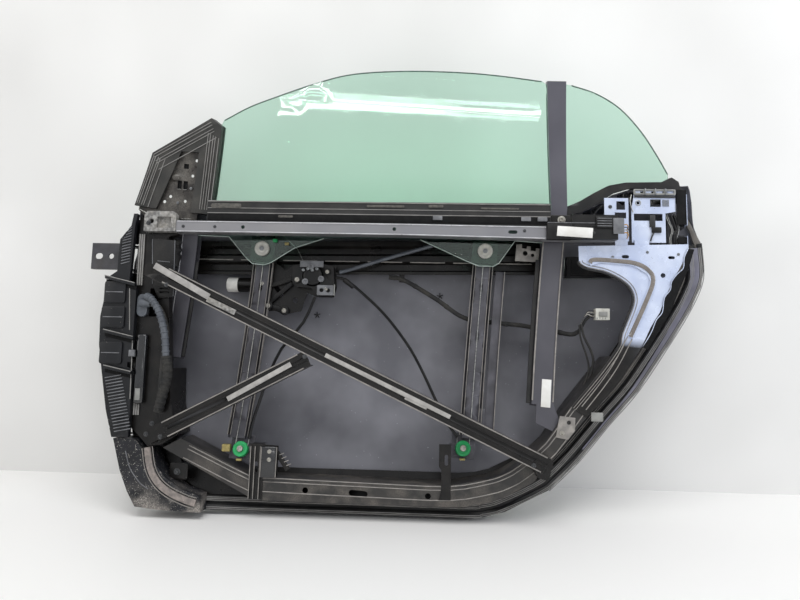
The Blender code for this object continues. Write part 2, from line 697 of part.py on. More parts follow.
def crash_beam(name, start, end, feet):
    """Channel-section crash beam between two points of its centre line, with its feet."""
    start, end = Vector(start), Vector(end)
    along = (end - start).normalized()
    across = Vector((-along.z, 0.0, along.x))
    half = BEAM_WIDTH / 2.0
    depth = BEAM_DEPTH
    wall = STEEL
    channel = [(-half, 0.0), (-half * 0.30, 0.0), (-half * 0.22, 0.003), (half * 0.22, 0.003),
               (half * 0.30, 0.0), (half, 0.0), (half, depth), (half - wall, depth),
               (half - wall, wall), (half * 0.36, wall), (half * 0.28, 0.003 + wall),
               (-half * 0.28, 0.003 + wall), (-half * 0.36, wall), (-half + wall, wall),
               (-half + wall, depth), (-half, depth)]
    matrix = orient(across, (0, 1, 0), start)
    sign = 1.0 if (matrix.to_3x3() @ Vector((0, 0, 1))).dot(along) > 0 else -1.0
    span = sorted((0.0, sign * (end - start).length))
    made = extrusion(name, [channel], span[0], span[1], matrix, BLACK_PAINT)
    for number, (outline, back) in enumerate(feet):
        foot = pan(f"{name}_foot_{number}", outline, BEAM_FRONT + 0.0006, back, STEEL, BLACK_PAINT)
        fuse(made, foot)
    return made


LONG_BEAM = ((0.140, BEAM_FRONT, -0.0400), (0.932, BEAM_FRONT, -0.4085))
SHORT_BEAM = ((0.150, BEAM_FRONT, -0.3660), (0.452, BEAM_FRONT, -0.2080))


def crash_beams():
    """Long diagonal beam and the short one that meets it from below."""
    long_beam = crash_beam(
        "crash_beam_long", *LONG_BEAM,
        [([(0.104, -0.024), (0.104, -0.044), (0.150, -0.0665), (0.158, -0.032), (0.112, -0.018)], -GAP),
         ([(0.905, -0.402), (0.914, -0.431), (0.934, -0.436), (0.944, -0.398), (0.918, -0.386)],
          FRAME_FRONT + 0.003 - GAP)])
    short_beam = crash_beam(
        "crash_beam_short", *SHORT_BEAM,
        [([(0.134, -0.356), (0.138, -0.388), (0.176, -0.3665), (0.170, -0.340)], -GAP)])
    start, end = Vector(LONG_BEAM[0]), Vector(LONG_BEAM[1])
    across = (end - start).normalized().cross(Vector((0, 1, 0)))
    half = BEAM_WIDTH / 2.0 + GAP
    corners = [start + across * half, end + across * half, end - across * half, start - across * half]
    cut(short_beam, sheet("long_beam_space", [(p.x, p.z) for p in corners], -0.060, 0.0))
    return long_beam, short_beam


def hinge_side_cover():
    """Moulded plastic cover down the hinge side, open where the hinge leaves swing."""
    made = pan("hinge_side_cover", COVER_OUTLINE, -0.014, 0.056, PLASTIC, BLACK_PLASTIC)
    for height in (UPPER_HINGE_Z, LOWER_HINGE_Z):
        reach = LEAF_HALF_HEIGHT + 0.008
        cut(made, box("leaf_space", (-0.060, -0.0030, height - reach), (0.100, 0.080, height + reach)))
    cut(made, box("pillar_side", (0.0630, -0.0024, -0.400), (0.200, 0.080, 0.120)))
    for count in range(5):
        low = 0.050 - 0.0155 * count
        cut(made, sheet("louvre", [(0.041, low - 0.002), (0.060, low + 0.004), (0.060, low + 0.010),
                                   (0.041, low + 0.004)], -0.0150, -0.0128))
    for count in range(7):
        low = -0.262 - 0.0160 * count
        left = 0.029 + 0.002 * count
        cut(made, sheet("louvre", [(left, low - 0.003), (left + 0.034, low + 0.004),
                                   (left + 0.034, low + 0.010), (left, low + 0.003)], -0.0150, -0.0128))
    cut(made, sheet("cover_pocket", rectangle(0.024, -0.176, 0.058, -0.164), -0.0150, -0.0125))
    cut(made, sheet("cover_pocket", rectangle(0.030, -0.246, 0.064, -0.236), -0.0150, -0.0125))
    fuse(made, sheet("cover_lip", rectangle(0.0655, -0.225, 0.0800, -0.060), -0.0140, -0.0120))
    fuse(made, box("cover_tab", (0.0775, -0.0140, -0.215), (0.0800, -GAP, -0.070)))
    return cut(made, skin_cutter(-HEM_DEPTH - SKIN_GAP))


def lower_corner_cover():
    """Moulded cover over the door's lower front corner."""
    made = pan("lower_corner_cover", CORNER_COVER_OUTLINE, -0.008, 0.060, PLASTIC, BLACK_PLASTIC)
    cut(made, sheet("channel_space", offset(CHANNEL_OUTLINE, GAP), 0.0048 - GAP, 0.200))
    cut(made, sheet("pillar_space", offset(PILLAR_OUTLINE, GAP), -GAP, 0.200))
    return cut(made, skin_cutter(RIM_FRONT - 0.014))


def glass_guides():
    """Front and rear run channels that the lower edges of the glass slide in."""
    wall = 0.0018
    front_low, front_high = -0.183, 0.1165
    left, right = -0.415, -0.381
    front = sheet("front_guide", rectangle(left, front_low, right, front_high), -0.012, 0.012, BLACK_PAINT)
    cut(front, sheet("front_guide_inside", rectangle(left + wall, front_low - 0.01, right + 0.01,
                                                     front_high + 0.01), -0.012 + wall, 0.012 - wall))
    for low in (front_low + 0.012, -0.020):
        fuse(front, sheet("guide_foot", rectangle(left - 0.0135, low, left + 0.001, low + 0.024),
                          -0.006, -0.0045))
    rear_low, rear_high = -0.208, 0.196
    left, right = 0.366, 0.411
    rear = sheet("rear_guide", rectangle(left, rear_low, right, rear_high), -0.014, 0.014, BLACK_PAINT)
    cut(rear, sheet("rear_guide_inside", rectangle(left - 0.01, rear_low - 0.01, right - 0.018,
                                                   rear_high + 0.01), -0.014 + wall, 0.014 - wall))
    cut(rear, sheet("rear_guide_back", rectangle(right - 0.016, rear_low - 0.01, right - wall,
                                                 rear_high + 0.01), -0.014 + wall, 0.030))
    foot = [(0.376, -0.246), (0.418, -0.262), (0.424, -0.236), (0.409, -0.200), (0.376, -0.200)]
    fuse(rear, sheet("rear_guide_foot", foot, -0.014, -0.012))
    wrap(front)
    for left, low in ((0.1240, -0.197), (0.1321, -0.046)):
        fuse(front, box("guide_bracket", (left, STEEL + GAP, low), (left + 0.002, 0.047, low + 0.018)))
    cut(wrap(rear), sheet("channel_space", offset(CHANNEL_OUTLINE, GAP), 0.0048 - GAP, 0.200))
    return front, rear


def divider_bar():
    """Bar between the sliding and the fixed glass, grooved on both sides."""
    outline = [(0.3395, 0.474), (0.378, 0.476), (0.4115, 0.216), (0.4115, 0.1975), (0.3775, 0.1975),
               (0.3775, 0.214)]
    made = sheet("divider_bar", outline, -0.012, 0.010, BLACK_PLASTIC)
    cut(made, main_glass_cutter())
    cut(made, quarter_glass_cutter())
    return wrap(made)


def quarter_glass_cutter():
    """The quarter glass with its seating gap, still on the unrolled glass."""
    half = GLASS_THICKNESS / 2.0 + GAP
    return sheet("quarter_glass_space", offset(QUARTER_GLASS_OUTLINE, GAP), -half, half)


def windows():
    """Sliding main glass and fixed quarter glass."""
    half = GLASS_THICKNESS / 2.0
    holes = [circle(FRONT_RAIL_ALONG, FRONT_DISC_UP, 0.009), circle(REAR_RAIL_ALONG, REAR_DISC_UP, 0.009)]
    main = sheet("main_glass", MAIN_GLASS_OUTLINE, -half, half, GREEN_GLASS, holes)
    quarter = sheet("quarter_glass", QUARTER_GLASS_OUTLINE, -half, half, GREEN_GLASS)
    return wrap(main), wrap(quarter)


def quarter_seal():
    """Rubber sill under the quarter glass."""
    made = sheet("quarter_seal", QUARTER_SEAL_OUTLINE, -0.010, 0.010, RUBBER)
    cut(made, quarter_glass_cutter())
    return cut(wrap(made), skin_space_cutter())


def sail():
    """Mirror plate and the rubber frame round it, with the run for the glass edge."""
    holes = [rectangle(-0.4265, 0.2325, -0.4155, 0.2435), rectangle(-0.438, 0.1865, -0.4285, 0.2055),
             rectangle(-0.4245, 0.1865, -0.415, 0.2055), circle(-0.4515, 0.169, 0.0036, 10),
             circle(-0.464, 0.1565, 0.0036, 10), circle(-0.3985, 0.252, 0.0034, 10),
             circle(-0.4055, 0.218, 0.0034, 10), circle(-0.418, 0.161, 0.0034, 10)]
    plate = sheet("sail_plate", SAIL_PLATE_OUTLINE, -0.0100, -0.0085, GREY_METAL, holes)
    seal = sheet("sail_seal", SAIL_SEAL_OUTLINE, -0.0180, -0.0103, RUBBER)
    run = [(-0.3835, 0.136), (-0.3835, 0.161), (-0.3745, 0.331), (-0.3675, 0.3455), (-0.3445, 0.330),
           (-0.3555, 0.161), (-0.3555, 0.136)]
    fuse(seal, sheet("sail_run", run, -0.0110, 0.0100))
    cut(seal, main_glass_cutter())
    fuse(wrap(plate), cylinder("mirror_pad", glass_point(-0.4420, -0.0125, 0.2120),
                               glass_point(-0.4420, -0.0090, 0.2120), 0.0085))
    return cut(plate, skin_space_cutter()), cut(wrap(seal), skin_space_cutter())


def belt_seals():
    """Inner and outer belt seals, each with its lip against the glass."""
    left, right = 0.2175, 0.946
    lip = 0.007
    inner = sheet("inner_belt_seal", [(left, 0.0768), (0.632, 0.0763), (right, 0.0742), (right, 0.1250),
                                      (left, 0.1235)], -0.004, 0.060, RUBBER)
    cut(inner, box("inner_seal_hollow", (left - 0.01, -0.001, 0.0), (right + 0.01, 0.080, 0.1235 - lip)))
    cut(inner, glass_side_cutter(-GLASS_THICKNESS / 2.0 - GLASS_CLEARANCE, 0.080))
    outer = extrusion("outer_belt_seal", [rectangle(0.2180, 0.020, 0.930, 0.110)], 0.103, 0.115,
                      LOOKING_DOWN, RUBBER)
    cut(outer, glass_side_cutter(-0.080, GLASS_THICKNESS / 2.0 + GLASS_CLEARANCE))
    cut(outer, skin_cutter(-HEM_DEPTH - SKIN_GAP))
    return inner, outer


def rail(name, centre, top, pulley_up, pulley_side):
    """Curved lifter rail with the plate and the pin of its lower pulley."""
    low = pulley_up - 0.0195
    web_end = pulley_up + 0.022
    half = RAIL_WIDTH / 2.0
    back = RAIL_FACE + RAIL_DEPTH
    made = sheet(name, rectangle(centre - half - RAIL_LIP, web_end, centre + half + RAIL_LIP, top),
                 RAIL_FACE, back, BLACK_PAINT)
    cut(made, sheet("rail_inside", rectangle(centre - half + STEEL, web_end - 0.01, centre + half - STEEL,
                                             top + 0.01), RAIL_FACE + STEEL, back + 0.01))
    for side in (-1.0, 1.0):
        edges = sorted((centre + side * half, centre + side * (half + RAIL_LIP + 0.01)))
        cut(made, sheet("rail_side", rectangle(edges[0], web_end - 0.01, edges[1], top + 0.01),
                        RAIL_FACE - 0.01, back - STEEL))
    for count in range(3):
        middle = top - 0.120 - 0.105 * count
        cut(made, sheet("rail_slot", slot((centre, middle - 0.006), (centre, middle + 0.006), 0.004),
                        RAIL_FACE - 0.01, RAIL_FACE + 0.008))
    pulley = centre + pulley_side * PULLEY_GROOVE
    outer = pulley + pulley_side * 0.024
    inner = centre - pulley_side * 0.012
    edges = sorted((outer, inner))
    fuse(made, sheet("pulley_plate", rectangle(edges[0], low, edges[1], web_end + 0.010),
                     back - STEEL - 0.0003, back - 0.0003))
    fuse(made, sheet("rail_top_tab", rectangle(centre - 0.009, top - 0.004, centre + 0.009, top + 0.012),
                     RAIL_FACE + 0.0011, RAIL_FACE + 0.0026))
    for radius, front, rear in ((0.0080, CABLE_DEPTH + 0.0051, back), (PULLEY_HUB, CABLE_DEPTH - 0.0082, back),
                                (0.0065, CABLE_DEPTH - 0.0087, CABLE_DEPTH - 0.0055)):
        fuse(made, sheet("pulley_pin", circle(pulley, pulley_up, radius, 16), front, rear - 0.0006))
    return wrap(made)


def pulley(name, centre, pulley_up, pulley_side):
    """Green cable pulley on its pin, with its groove for the cable."""
    place = (centre + pulley_side * PULLEY_GROOVE, CABLE_DEPTH, pulley_up)
    bore = PULLEY_HUB + PIN_CLEARANCE * 2.0
    profile = [(bore, -0.0050), (PULLEY_RADIUS, -0.0050), (PULLEY_RADIUS, -0.0030),
               (PULLEY_GROOVE - CABLE_RADIUS - 0.0004, -0.0010),
               (PULLEY_GROOVE - CABLE_RADIUS - 0.0004, 0.0010),
               (PULLEY_RADIUS, 0.0030), (PULLEY_RADIUS, 0.0045), (bore, 0.0045)]
    return turned(name, profile, glass_point(*place), glass_normal(pulley_up), GREEN_PLASTIC, 20)


def window_fixings():
    """Plastic carriers on the rails and the discs that clamp the glass to them."""
    made = []
    face = GLASS_THICKNESS / 2.0
    half = RAIL_WIDTH / 2.0 + RAIL_LIP + CARRIER_CLEARANCE
    back = RAIL_FACE + RAIL_DEPTH + CARRIER_CLEARANCE
    for end, along, up in (("front", FRONT_RAIL_ALONG, FRONT_DISC_UP),
                           ("rear", REAR_RAIL_ALONG, REAR_DISC_UP)):
        body = sheet(f"carrier_{end}", rectangle(along - half - 0.004, up - 0.027, along + half + 0.004,
                                                 up + 0.027), face + GAP, back + 0.003, GREY_PLASTIC)
        cut(body, sheet("carrier_way", rectangle(along - half, up - 0.04, along + half, up + 0.04),
                        CABLE_DEPTH - CABLE_RADIUS - CARRIER_CLEARANCE, back))
        cut(body, sheet("carrier_back", rectangle(along - half + 0.008, up - 0.04, along + half - 0.008,
                                                  up + 0.04), back - 0.001, back + 0.01))
        made.append(wrap(body))
        rim = 0.0155
        profile = [(0.0, -0.0090), (0.0050, -0.0090), (0.0060, -0.0075), (0.0110, -0.0075),
                   (0.0125, -0.0090), (rim, -0.0080), (rim, -face - GAP), (0.0086, -face - GAP),
                   (0.0086, face), (0.0, face)]
        disc = turned(f"fixing_disc_{end}", profile, glass_point(along, 0.0, up), glass_normal(up),
                      WHITE_PLASTIC, 20)
        made.append(disc)
    return made


def regulator():
    """Lifter plate, motor with its gearbox, drum housing and cable drum."""
    plate_front = 0.0790
    outline = [(0.300, 0.004), (0.352, 0.003), (0.372, -0.012), (0.392, 0.000), (0.486, 0.000),
               (0.490, -0.050), (0.484, -0.072), (0.446, -0.072), (0.424, -0.062), (0.412, -0.104),
               (0.376, -0.112), (0.352, -0.104), (0.330, -0.106), (0.322, -0.088), (0.306, -0.060)]
    plate = sheet("regulator_plate", outline, plate_front, plate_front + 0.002, BLACK_PAINT,
                  [circle(0.3975, -0.080, 0.006, 12), slot((0.352, -0.050), (0.366, -0.068), 0.005)])
    for x, z in ((0.3215, -0.044), (0.3180, -0.090)):
        face = glass_point(FRONT_RAIL_ALONG, RAIL_FACE + RAIL_DEPTH, z + 0.045).y
        fuse(plate, cylinder("plate_boss", (x, face + GAP, z), (x, plate_front + 0.001, z), 0.006,
                             segments=16))
    fuse(plate, cylinder("plate_bolt", (0.375, plate_front - 0.005, -0.104),
                         (0.375, plate_front + 0.001, -0.104), 0.0065, segments=10))
    centre = Vector((0.4385, 0.0, -0.027))
    front = 0.0590
    ring = 0.0235
    housing_outline = [(0.393, -0.004), (0.415, 0.000), (0.462, 0.000), (0.484, -0.006), (0.4865, -0.048),
                       (0.480, -0.070), (0.450, -0.070), (0.436, -0.054), (0.404, -0.052), (0.393, -0.040)]
    housing = sheet("drum_housing", housing_outline, front, plate_front - GAP, BLACK_PLASTIC)
    cut(housing, cylinder("drum_space", (centre.x, front - 0.01, centre.z),
                          (centre.x, plate_front - 0.003, centre.z), ring, segments=24))
    fuse(housing, cylinder("drum_pin", (centre.x, front - 0.002, centre.z),
                           (centre.x, plate_front - 0.002, centre.z), PIN_RADIUS))
    for exit_point in ((0.480, -0.0295), (0.4055, -0.004), (0.4470, -0.066)):
        way = Vector((exit_point[0] - centre.x, 0.0, exit_point[1] - centre.z)).normalized()
        middle = Vector((centre.x, 0.0665, centre.z))
        cut(housing, cylinder("cable_way", middle + way * 0.015, middle + way * 0.070,
                              CABLE_RADIUS + 0.0016, segments=10))
    drum = turned("cable_drum",
                  [(PIN_RADIUS + PIN_CLEARANCE, 0.0), (0.0205, 0.0), (0.0205, 0.002), (0.019, 0.003),
                   (0.019, 0.0095), (0.0205, 0.0105), (0.0205, 0.0145), (PIN_RADIUS + PIN_CLEARANCE, 0.0145)],
                  (centre.x, 0.0605, centre.z), (0, 1, 0), WHITE_PLASTIC, 20)
    motor_y, motor_z, motor_radius = 0.0980, -0.045, 0.0160
    gearbox_front = plate_front + 0.002 + GAP
    motor = cylinder("window_motor", (0.246, motor_y, motor_z), (0.404, motor_y, motor_z), motor_radius,
                     BLACK_PAINT)
    fuse(motor, cylinder("gearbox", (centre.x, gearbox_front, centre.z), (centre.x, 0.0870, centre.z), 0.034))
    fuse(motor, box("gearbox_arm", (0.390, gearbox_front + 0.001, -0.0600), (0.440, 0.1060, -0.0305)))
    fuse(motor, cylinder("motor_cap", (0.238, motor_y, motor_z), (0.247, motor_y, motor_z), 0.010,
                         segments=16))
    return plate, housing, drum, motor


def cables():
    """Bowden cables of the lifter and their conduits."""
    front_line = FRONT_RAIL_ALONG
    front_pulley = front_line + PULLEY_GROOVE
    path = [Vector((0.4150, 0.0665, 0.0060)), Vector((0.4000, 0.0690, 0.0340)),
            Vector((0.3720, 0.0660, 0.0600))]
    path.append(glass_point(front_line + 0.010, CABLE_DEPTH, FRONT_RAIL_TOP + 0.012))
    path.append(glass_point(front_line, CABLE_DEPTH, FRONT_RAIL_TOP - 0.010))
    for up in (0.040, -0.040, -0.120, -0.200, -0.280, FRONT_PULLEY_UP + 0.012):
        path.append(glass_point(front_line, CABLE_DEPTH, up))
    for step in range(9):
        angle = math.pi + math.pi * step / 8.0
        path.append(glass_point(front_pulley + PULLEY_GROOVE * math.cos(angle), CABLE_DEPTH,
                                FRONT_PULLEY_UP + PULLEY_GROOVE * math.sin(angle)))
    return_line = front_pulley + PULLEY_GROOVE
    path.append(glass_point(return_line, CABLE_DEPTH, FRONT_PULLEY_UP + 0.0212))
    made = [tube("cable_front", path, CABLE_RADIUS, BRIGHT_STEEL, 1)]
    path = [glass_point(REAR_RAIL_ALONG, CABLE_DEPTH, REAR_RAIL_TOP + 0.0072)]
    for up in (0.100, 0.020, -0.060, -0.140, -0.220, REAR_PULLEY_UP + 0.012):
        path.append(glass_point(REAR_RAIL_ALONG, CABLE_DEPTH, up))
    rear_pulley = REAR_RAIL_ALONG - PULLEY_GROOVE
    for step in range(9):
        angle = -math.pi * step / 8.0
        path.append(glass_point(rear_pulley + PULLEY_GROOVE * math.cos(angle), CABLE_DEPTH,
                                REAR_PULLEY_UP + PULLEY_GROOVE * math.sin(angle)))
    path.append(glass_point(rear_pulley - PULLEY_GROOVE, CABLE_DEPTH, REAR_PULLEY_UP + 0.0212))
    made.append(tube("cable_rear", path, CABLE_RADIUS, BRIGHT_STEEL, 0))
    path = [glass_point(return_line, CABLE_DEPTH, FRONT_PULLEY_UP + 0.0220),
            glass_point(return_line + 0.0020, CABLE_DEPTH, FRONT_PULLEY_UP + 0.060),
            glass_point(return_line + 0.0085, CABLE_DEPTH + 0.002, -0.255),
            glass_point(return_line + 0.0160, CABLE_DEPTH + 0.004, -0.210),
            Vector((0.3750, 0.0600, -0.190)), Vector((0.4200, 0.0660, -0.130)),
            Vector((0.4440, 0.0665, -0.0735))]
    made.append(tube("conduit_front", smooth_path(path), CONDUIT_RADIUS, BLACK_PLASTIC))
    path = [(0.4890, 0.0665, -0.0290), (0.5100, 0.0720, -0.0330), (0.5410, 0.0800, -0.0560),
            (0.5830, 0.0840, -0.0930), (0.6170, 0.0840, -0.1300), (0.6560, 0.0820, -0.1820),
            (0.6860, 0.0740, -0.2350), (0.7120, 0.0600, -0.2880), (0.7380, 0.0450, -0.3360)]
    path.append(glass_point(rear_pulley - PULLEY_GROOVE, CABLE_DEPTH, REAR_PULLEY_UP + 0.0220))
    made.append(tube("conduit_lower", smooth_path(path), CONDUIT_RADIUS, BLACK_PLASTIC))
    path = [(0.4890, 0.0665, -0.0200), (0.5200, 0.0700, -0.0100), (0.6000, 0.0700, 0.0160),
            (0.7060, 0.0680, 0.0480), (0.7700, 0.0620, 0.0700)]
    path.append(glass_point(REAR_RAIL_ALONG - 0.012, CABLE_DEPTH, REAR_RAIL_TOP + 0.022))
    path.append(glass_point(REAR_RAIL_ALONG, CABLE_DEPTH, REAR_RAIL_TOP + 0.0080))
    made.append(tube("conduit_upper", smooth_path(path), 0.0024, BLACK_PLASTIC))
    return made


def lifter_posts():
    """Folded posts that carry the lower ends of the rails on the bottom channel."""
    face = FRAME_FRONT + 0.003 - GAP
    front = sheet("post_front", [(0.3335, -0.497), (0.362, -0.497), (0.362, -0.450), (0.392, -0.448),
                                 (0.392, -0.388), (0.3335, -0.385)], face - 0.002, face, BLACK_PAINT,
                  [circle(0.376, -0.414, 0.005, 12), slot((0.347, -0.425), (0.347, -0.440), 0.004)])
    fuse(front, box("post_flange", (0.3340, face - 0.0017, -0.3880), (0.3600, 0.0300, -0.3862)))
    fuse(front, box("post_side", (0.3338, face - 0.0015, -0.4480), (0.3356, 0.0260, -0.3870)))
    fuse(front, cylinder("post_bolt", (0.376, face - 0.006, -0.414), (0.376, face, -0.414), 0.0068,
                         segments=10))
    rear = sheet("post_rear", [(0.7210, -0.486), (0.7455, -0.486), (0.7455, -0.376), (0.7210, -0.376),
                               (0.7210, -0.420), (0.7260, -0.428), (0.7260, -0.470)], face - 0.002, face,
                 BLACK_PAINT, [slot((0.736, -0.400), (0.736, -0.415), 0.0035)])
    fuse(rear, box("post_side", (0.7435, face - 0.002, -0.4450), (0.7455, 0.0300, -0.3760)))
    return front, rear


def latch():
    """Latch housing, its claw and the lever and rod that release it."""
    low = (LATCH_X[0], LATCH_Y[0], LATCH_Z[0])
    high = (LATCH_X[1], LATCH_Y[1], LATCH_Z[1])
    housing = box("latch_housing", low, high, GALVANISED)
    mouth = 0.0075
    cut(housing, box("latch_mouth", (CLAW_X[0] - 0.006, low[1] - 0.01, LATCH_MOUTH_Z - mouth),
                     (high[0] + 0.01, 0.044, LATCH_MOUTH_Z + mouth)))
    space = 0.0215
    cut(housing, cylinder("claw_space", (CLAW_X[0] - 0.001, *CLAW_PIVOT), (CLAW_X[1] + 0.001, *CLAW_PIVOT),
                          space, segments=24))
    fuse(housing, cylinder("claw_pin", (CLAW_X[0] - 0.004, *CLAW_PIVOT), (CLAW_X[1] + 0.004, *CLAW_PIVOT),
                           0.0048))
    reach = 0.0205
    claw_outline = []
    for degrees in range(-150, 61, 15):
        angle = math.radians(degrees)
        claw_outline.append((CLAW_PIVOT[0] + reach * math.cos(angle), CLAW_PIVOT[1] + reach * math.sin(angle)))
    claw_outline += [(CLAW_PIVOT[0] + 0.004, CLAW_PIVOT[1] + 0.011), (CLAW_PIVOT[0] - 0.008,
                                                                    CLAW_PIVOT[1] + 0.007)]
    claw = extrusion("latch_claw", [claw_outline, circle(*CLAW_PIVOT, 0.0049, 24)], CLAW_X[0], CLAW_X[1],
                     LOOKING_ALONG, BRIGHT_STEEL)
    fork = [(0.005, LATCH_MOUTH_Z - 0.0062), (0.036, LATCH_MOUTH_Z - 0.0062), (0.040, LATCH_MOUTH_Z),
            (0.036, LATCH_MOUTH_Z + 0.0062), (0.005, LATCH_MOUTH_Z + 0.0062)]
    cut(claw, extrusion("claw_fork", [fork], CLAW_X[0] - 0.01, CLAW_X[1] + 0.01, LOOKING_ALONG))
    pivot = Vector((LATCH_X[0], 0.052, 0.056))
    fuse(housing, cylinder("lever_pin", (pivot.x - 0.009, pivot.y, pivot.z), (pivot.x + 0.002, pivot.y, pivot.z),
                           0.0040))
    lever_outline = slot((pivot.y, pivot.z), (pivot.y - 0.004, pivot.z + 0.030), 0.0075, 8)
    lever = extrusion("release_lever", [lever_outline, circle(pivot.y, pivot.z, 0.0041, 24),
                                        circle(pivot.y - 0.004, pivot.z + 0.030, 0.0030, 12)],
                      pivot.x - 0.0065, pivot.x - 0.0035, LOOKING_ALONG, GALVANISED)
    return housing, claw, lever


def outer_handle():
    """Handle bracket behind the skin, the pull flap and the lock cylinder."""
    cup = offset(HANDLE_OUTLINE, -GAP)
    middle_x = (HANDLE_LEFT + HANDLE_RIGHT) / 2.0
    middle_z = (HANDLE_LOW + HANDLE_HIGH) / 2.0
    face = skin_depth(middle_x, middle_z)
    back = face - HANDLE_CUP_DEPTH
    wall = 0.0020
    bracket = sheet("handle_bracket", cup, back, face + 0.02, BLACK_PLASTIC)
    cut(bracket, sheet("handle_cup", offset(cup, -wall), back + wall, face + 0.04))
    lock_x, lock_z = LOCK_PLACE
    flange = [(HANDLE_LEFT + 0.010, HANDLE_LOW + 0.004), (lock_x + 0.016, HANDLE_LOW + 0.004),
              (lock_x + 0.016, HANDLE_HIGH - 0.004), (HANDLE_LEFT + 0.010, HANDLE_HIGH - 0.004)]
    fuse(bracket, sheet("bracket_flange", flange, back - 0.002, back + 0.0005, None,
                        [circle(lock_x, lock_z, LOCK_RADIUS + 0.0002, 24)]))
    fuse(bracket, sheet("lock_sleeve", circle(lock_x, lock_z, LOCK_RADIUS + 0.003, 24), back - 0.002,
                        skin_depth(lock_x, lock_z) - 0.006, None,
                        [circle(lock_x, lock_z, LOCK_RADIUS + 0.0002, 24)]))
    cut(bracket, skin_outside_cutter())
    axis_z = HANDLE_HIGH - 0.0115
    axis_y = face - 0.012
    inner_left, inner_right = HANDLE_LEFT + GAP + wall, HANDLE_RIGHT - GAP - wall
    for side, start in ((1.0, inner_left), (-1.0, inner_right)):
        fuse(bracket, cylinder("flap_pin", (start - side * 0.001, axis_y, axis_z),
                               (start + side * 0.0060, axis_y, axis_z), 0.0025, segments=16))
    edge = FLAP_MARGIN
    flap = sheet("outer_handle", rectangle(inner_left + edge, HANDLE_LOW + wall + 0.0025, inner_right - edge,
                                           HANDLE_HIGH - wall - 0.0055),
                 face - 0.0065, face - 0.0015, BLACK_PAINT)
    for start in (inner_left + edge, inner_right - edge - 0.0045):
        fuse(flap, box("flap_ear", (start, axis_y - 0.0045, axis_z - 0.0045),
                       (start + 0.0045, face - 0.0030, axis_z + 0.0040)))
        cut(flap, cylinder("flap_bore", (start - 0.01, axis_y, axis_z), (start + 0.02, axis_y, axis_z),
                           0.0026, segments=16))
    lock = cylinder("lock_cylinder", (lock_x, back - 0.010, lock_z),
                    (lock_x, skin_depth(lock_x, lock_z) + 0.0010, lock_z), LOCK_RADIUS, BRIGHT_STEEL, 24)
    fuse(lock, box("lock_tail", (lock_x - 0.003, back - 0.016, lock_z - 0.006),
                   (lock_x + 0.003, back - 0.009, lock_z + 0.018)))
    return bracket, flap, lock


def skin_outside_cutter():
    """Cutter for all that would stand out of the skin's outside."""
    made = sheet("skin_outside", rectangle(0.900, -0.126, 1.300, 0.126), 0.0, 0.080)
    return as_cutter(follow_skin(made))


def hinge(name, height, swing):
    """Door half with its pin, and the leaf that bolts to the car body."""
    axis = Vector((HINGE_AXIS_X, HINGE_AXIS_Y, height))
    barrel = LEAF_HALF_HEIGHT - LEAF_PLATE - 0.0008
    tall = LEAF_HALF_HEIGHT + 0.007
    plate_back = PILLAR_FRONT_X - GAP
    half = box(f"hinge_half_{name}", (plate_back - 0.004, 0.022, height - tall),
               (plate_back, 0.066, height + tall), HINGE_STEEL)
    fuse(half, box("knuckle_arm", (axis.x, axis.y - 0.008, height - barrel),
                   (plate_back - 0.002, axis.y + 0.008, height + barrel)))
    fuse(half, cylinder("knuckle", axis - Vector((0, 0, barrel)), axis + Vector((0, 0, barrel)), 0.0088))
    fuse(half, cylinder("pin", axis - Vector((0, 0, tall - 0.001)), axis + Vector((0, 0, tall - 0.001)),
                        PIN_RADIUS))
    for side in (-1.0, 1.0):
        start = axis + Vector((0, 0, side * (LEAF_HALF_HEIGHT + 0.0006)))
        fuse(half, cylinder("pin_head", start, start + Vector((0, 0, side * 0.0035)), 0.0078,
                            segments=14))
    bolt_x = plate_back - 0.004
    for side in (-1.0, 1.0):
        place = Vector((bolt_x, 0.059, height + side * 0.020))
        fuse(half, cylinder("half_bolt", place - Vector((0.0030, 0, 0)), place + Vector((0.001, 0, 0)),
                            0.0055, segments=10))
    web = extrusion(f"hinge_leaf_{name}", [rectangle(LEAF_FRONT, height - LEAF_HALF_HEIGHT, LEAF_BACK,
                                                     height + LEAF_HALF_HEIGHT),
                                           slot((LEAF_BOLTS[0] - 0.0022, height), (LEAF_BOLTS[0] + 0.0022, height),
                                                0.0065, 8),
                                           circle(LEAF_BOLTS[1], height, 0.0060)],
                    -LEAF_PLATE, 0.0, FACING_CABIN, HINGE_STEEL)
    flange = [(LEAF_FRONT, 0.0005), (LEAF_BACK, 0.0005), (0.042, 0.006), (0.0675, 0.0385)]
    for degrees in range(-20, 161, 20):
        angle = math.radians(degrees)
        flange.append((axis.x + 0.0092 * math.cos(angle), axis.y + 0.0092 * math.sin(angle)))
    flange += [(0.036, 0.016), (0.030, 0.012), (LEAF_FRONT + 0.006, 0.011), (LEAF_FRONT, 0.006)]
    for side in (-1.0, 1.0):
        outer = height + side * LEAF_HALF_HEIGHT
        span = sorted((outer, outer - side * LEAF_PLATE))
        fuse(web, extrusion("leaf_flange", [flange], span[0], span[1], LOOKING_DOWN))
    cut(web, cylinder("pin_bore", axis - Vector((0, 0, 0.05)), axis + Vector((0, 0, 0.05)),
                      PIN_RADIUS + PIN_CLEARANCE))
    set_origin(web, axis)
    web.rotation_euler = (0.0, 0.0, swing)
    return half, web


def control_module():
    """Small control module on the rear end of the belt beam."""
    back = BELT_BEAM_FRONT - GAP
    made = box("control_module", (0.984, back - 0.012, 0.046), (1.077, back, 0.097), BLACK_PLASTIC)
    fuse(made, box("module_socket", (1.074, back - 0.010, 0.066), (1.090, back - 0.002, 0.089)))
    fuse(made, box("module_rib", (0.990, back - 0.0135, 0.072), (1.070, back - 0.011, 0.075)))
    return made


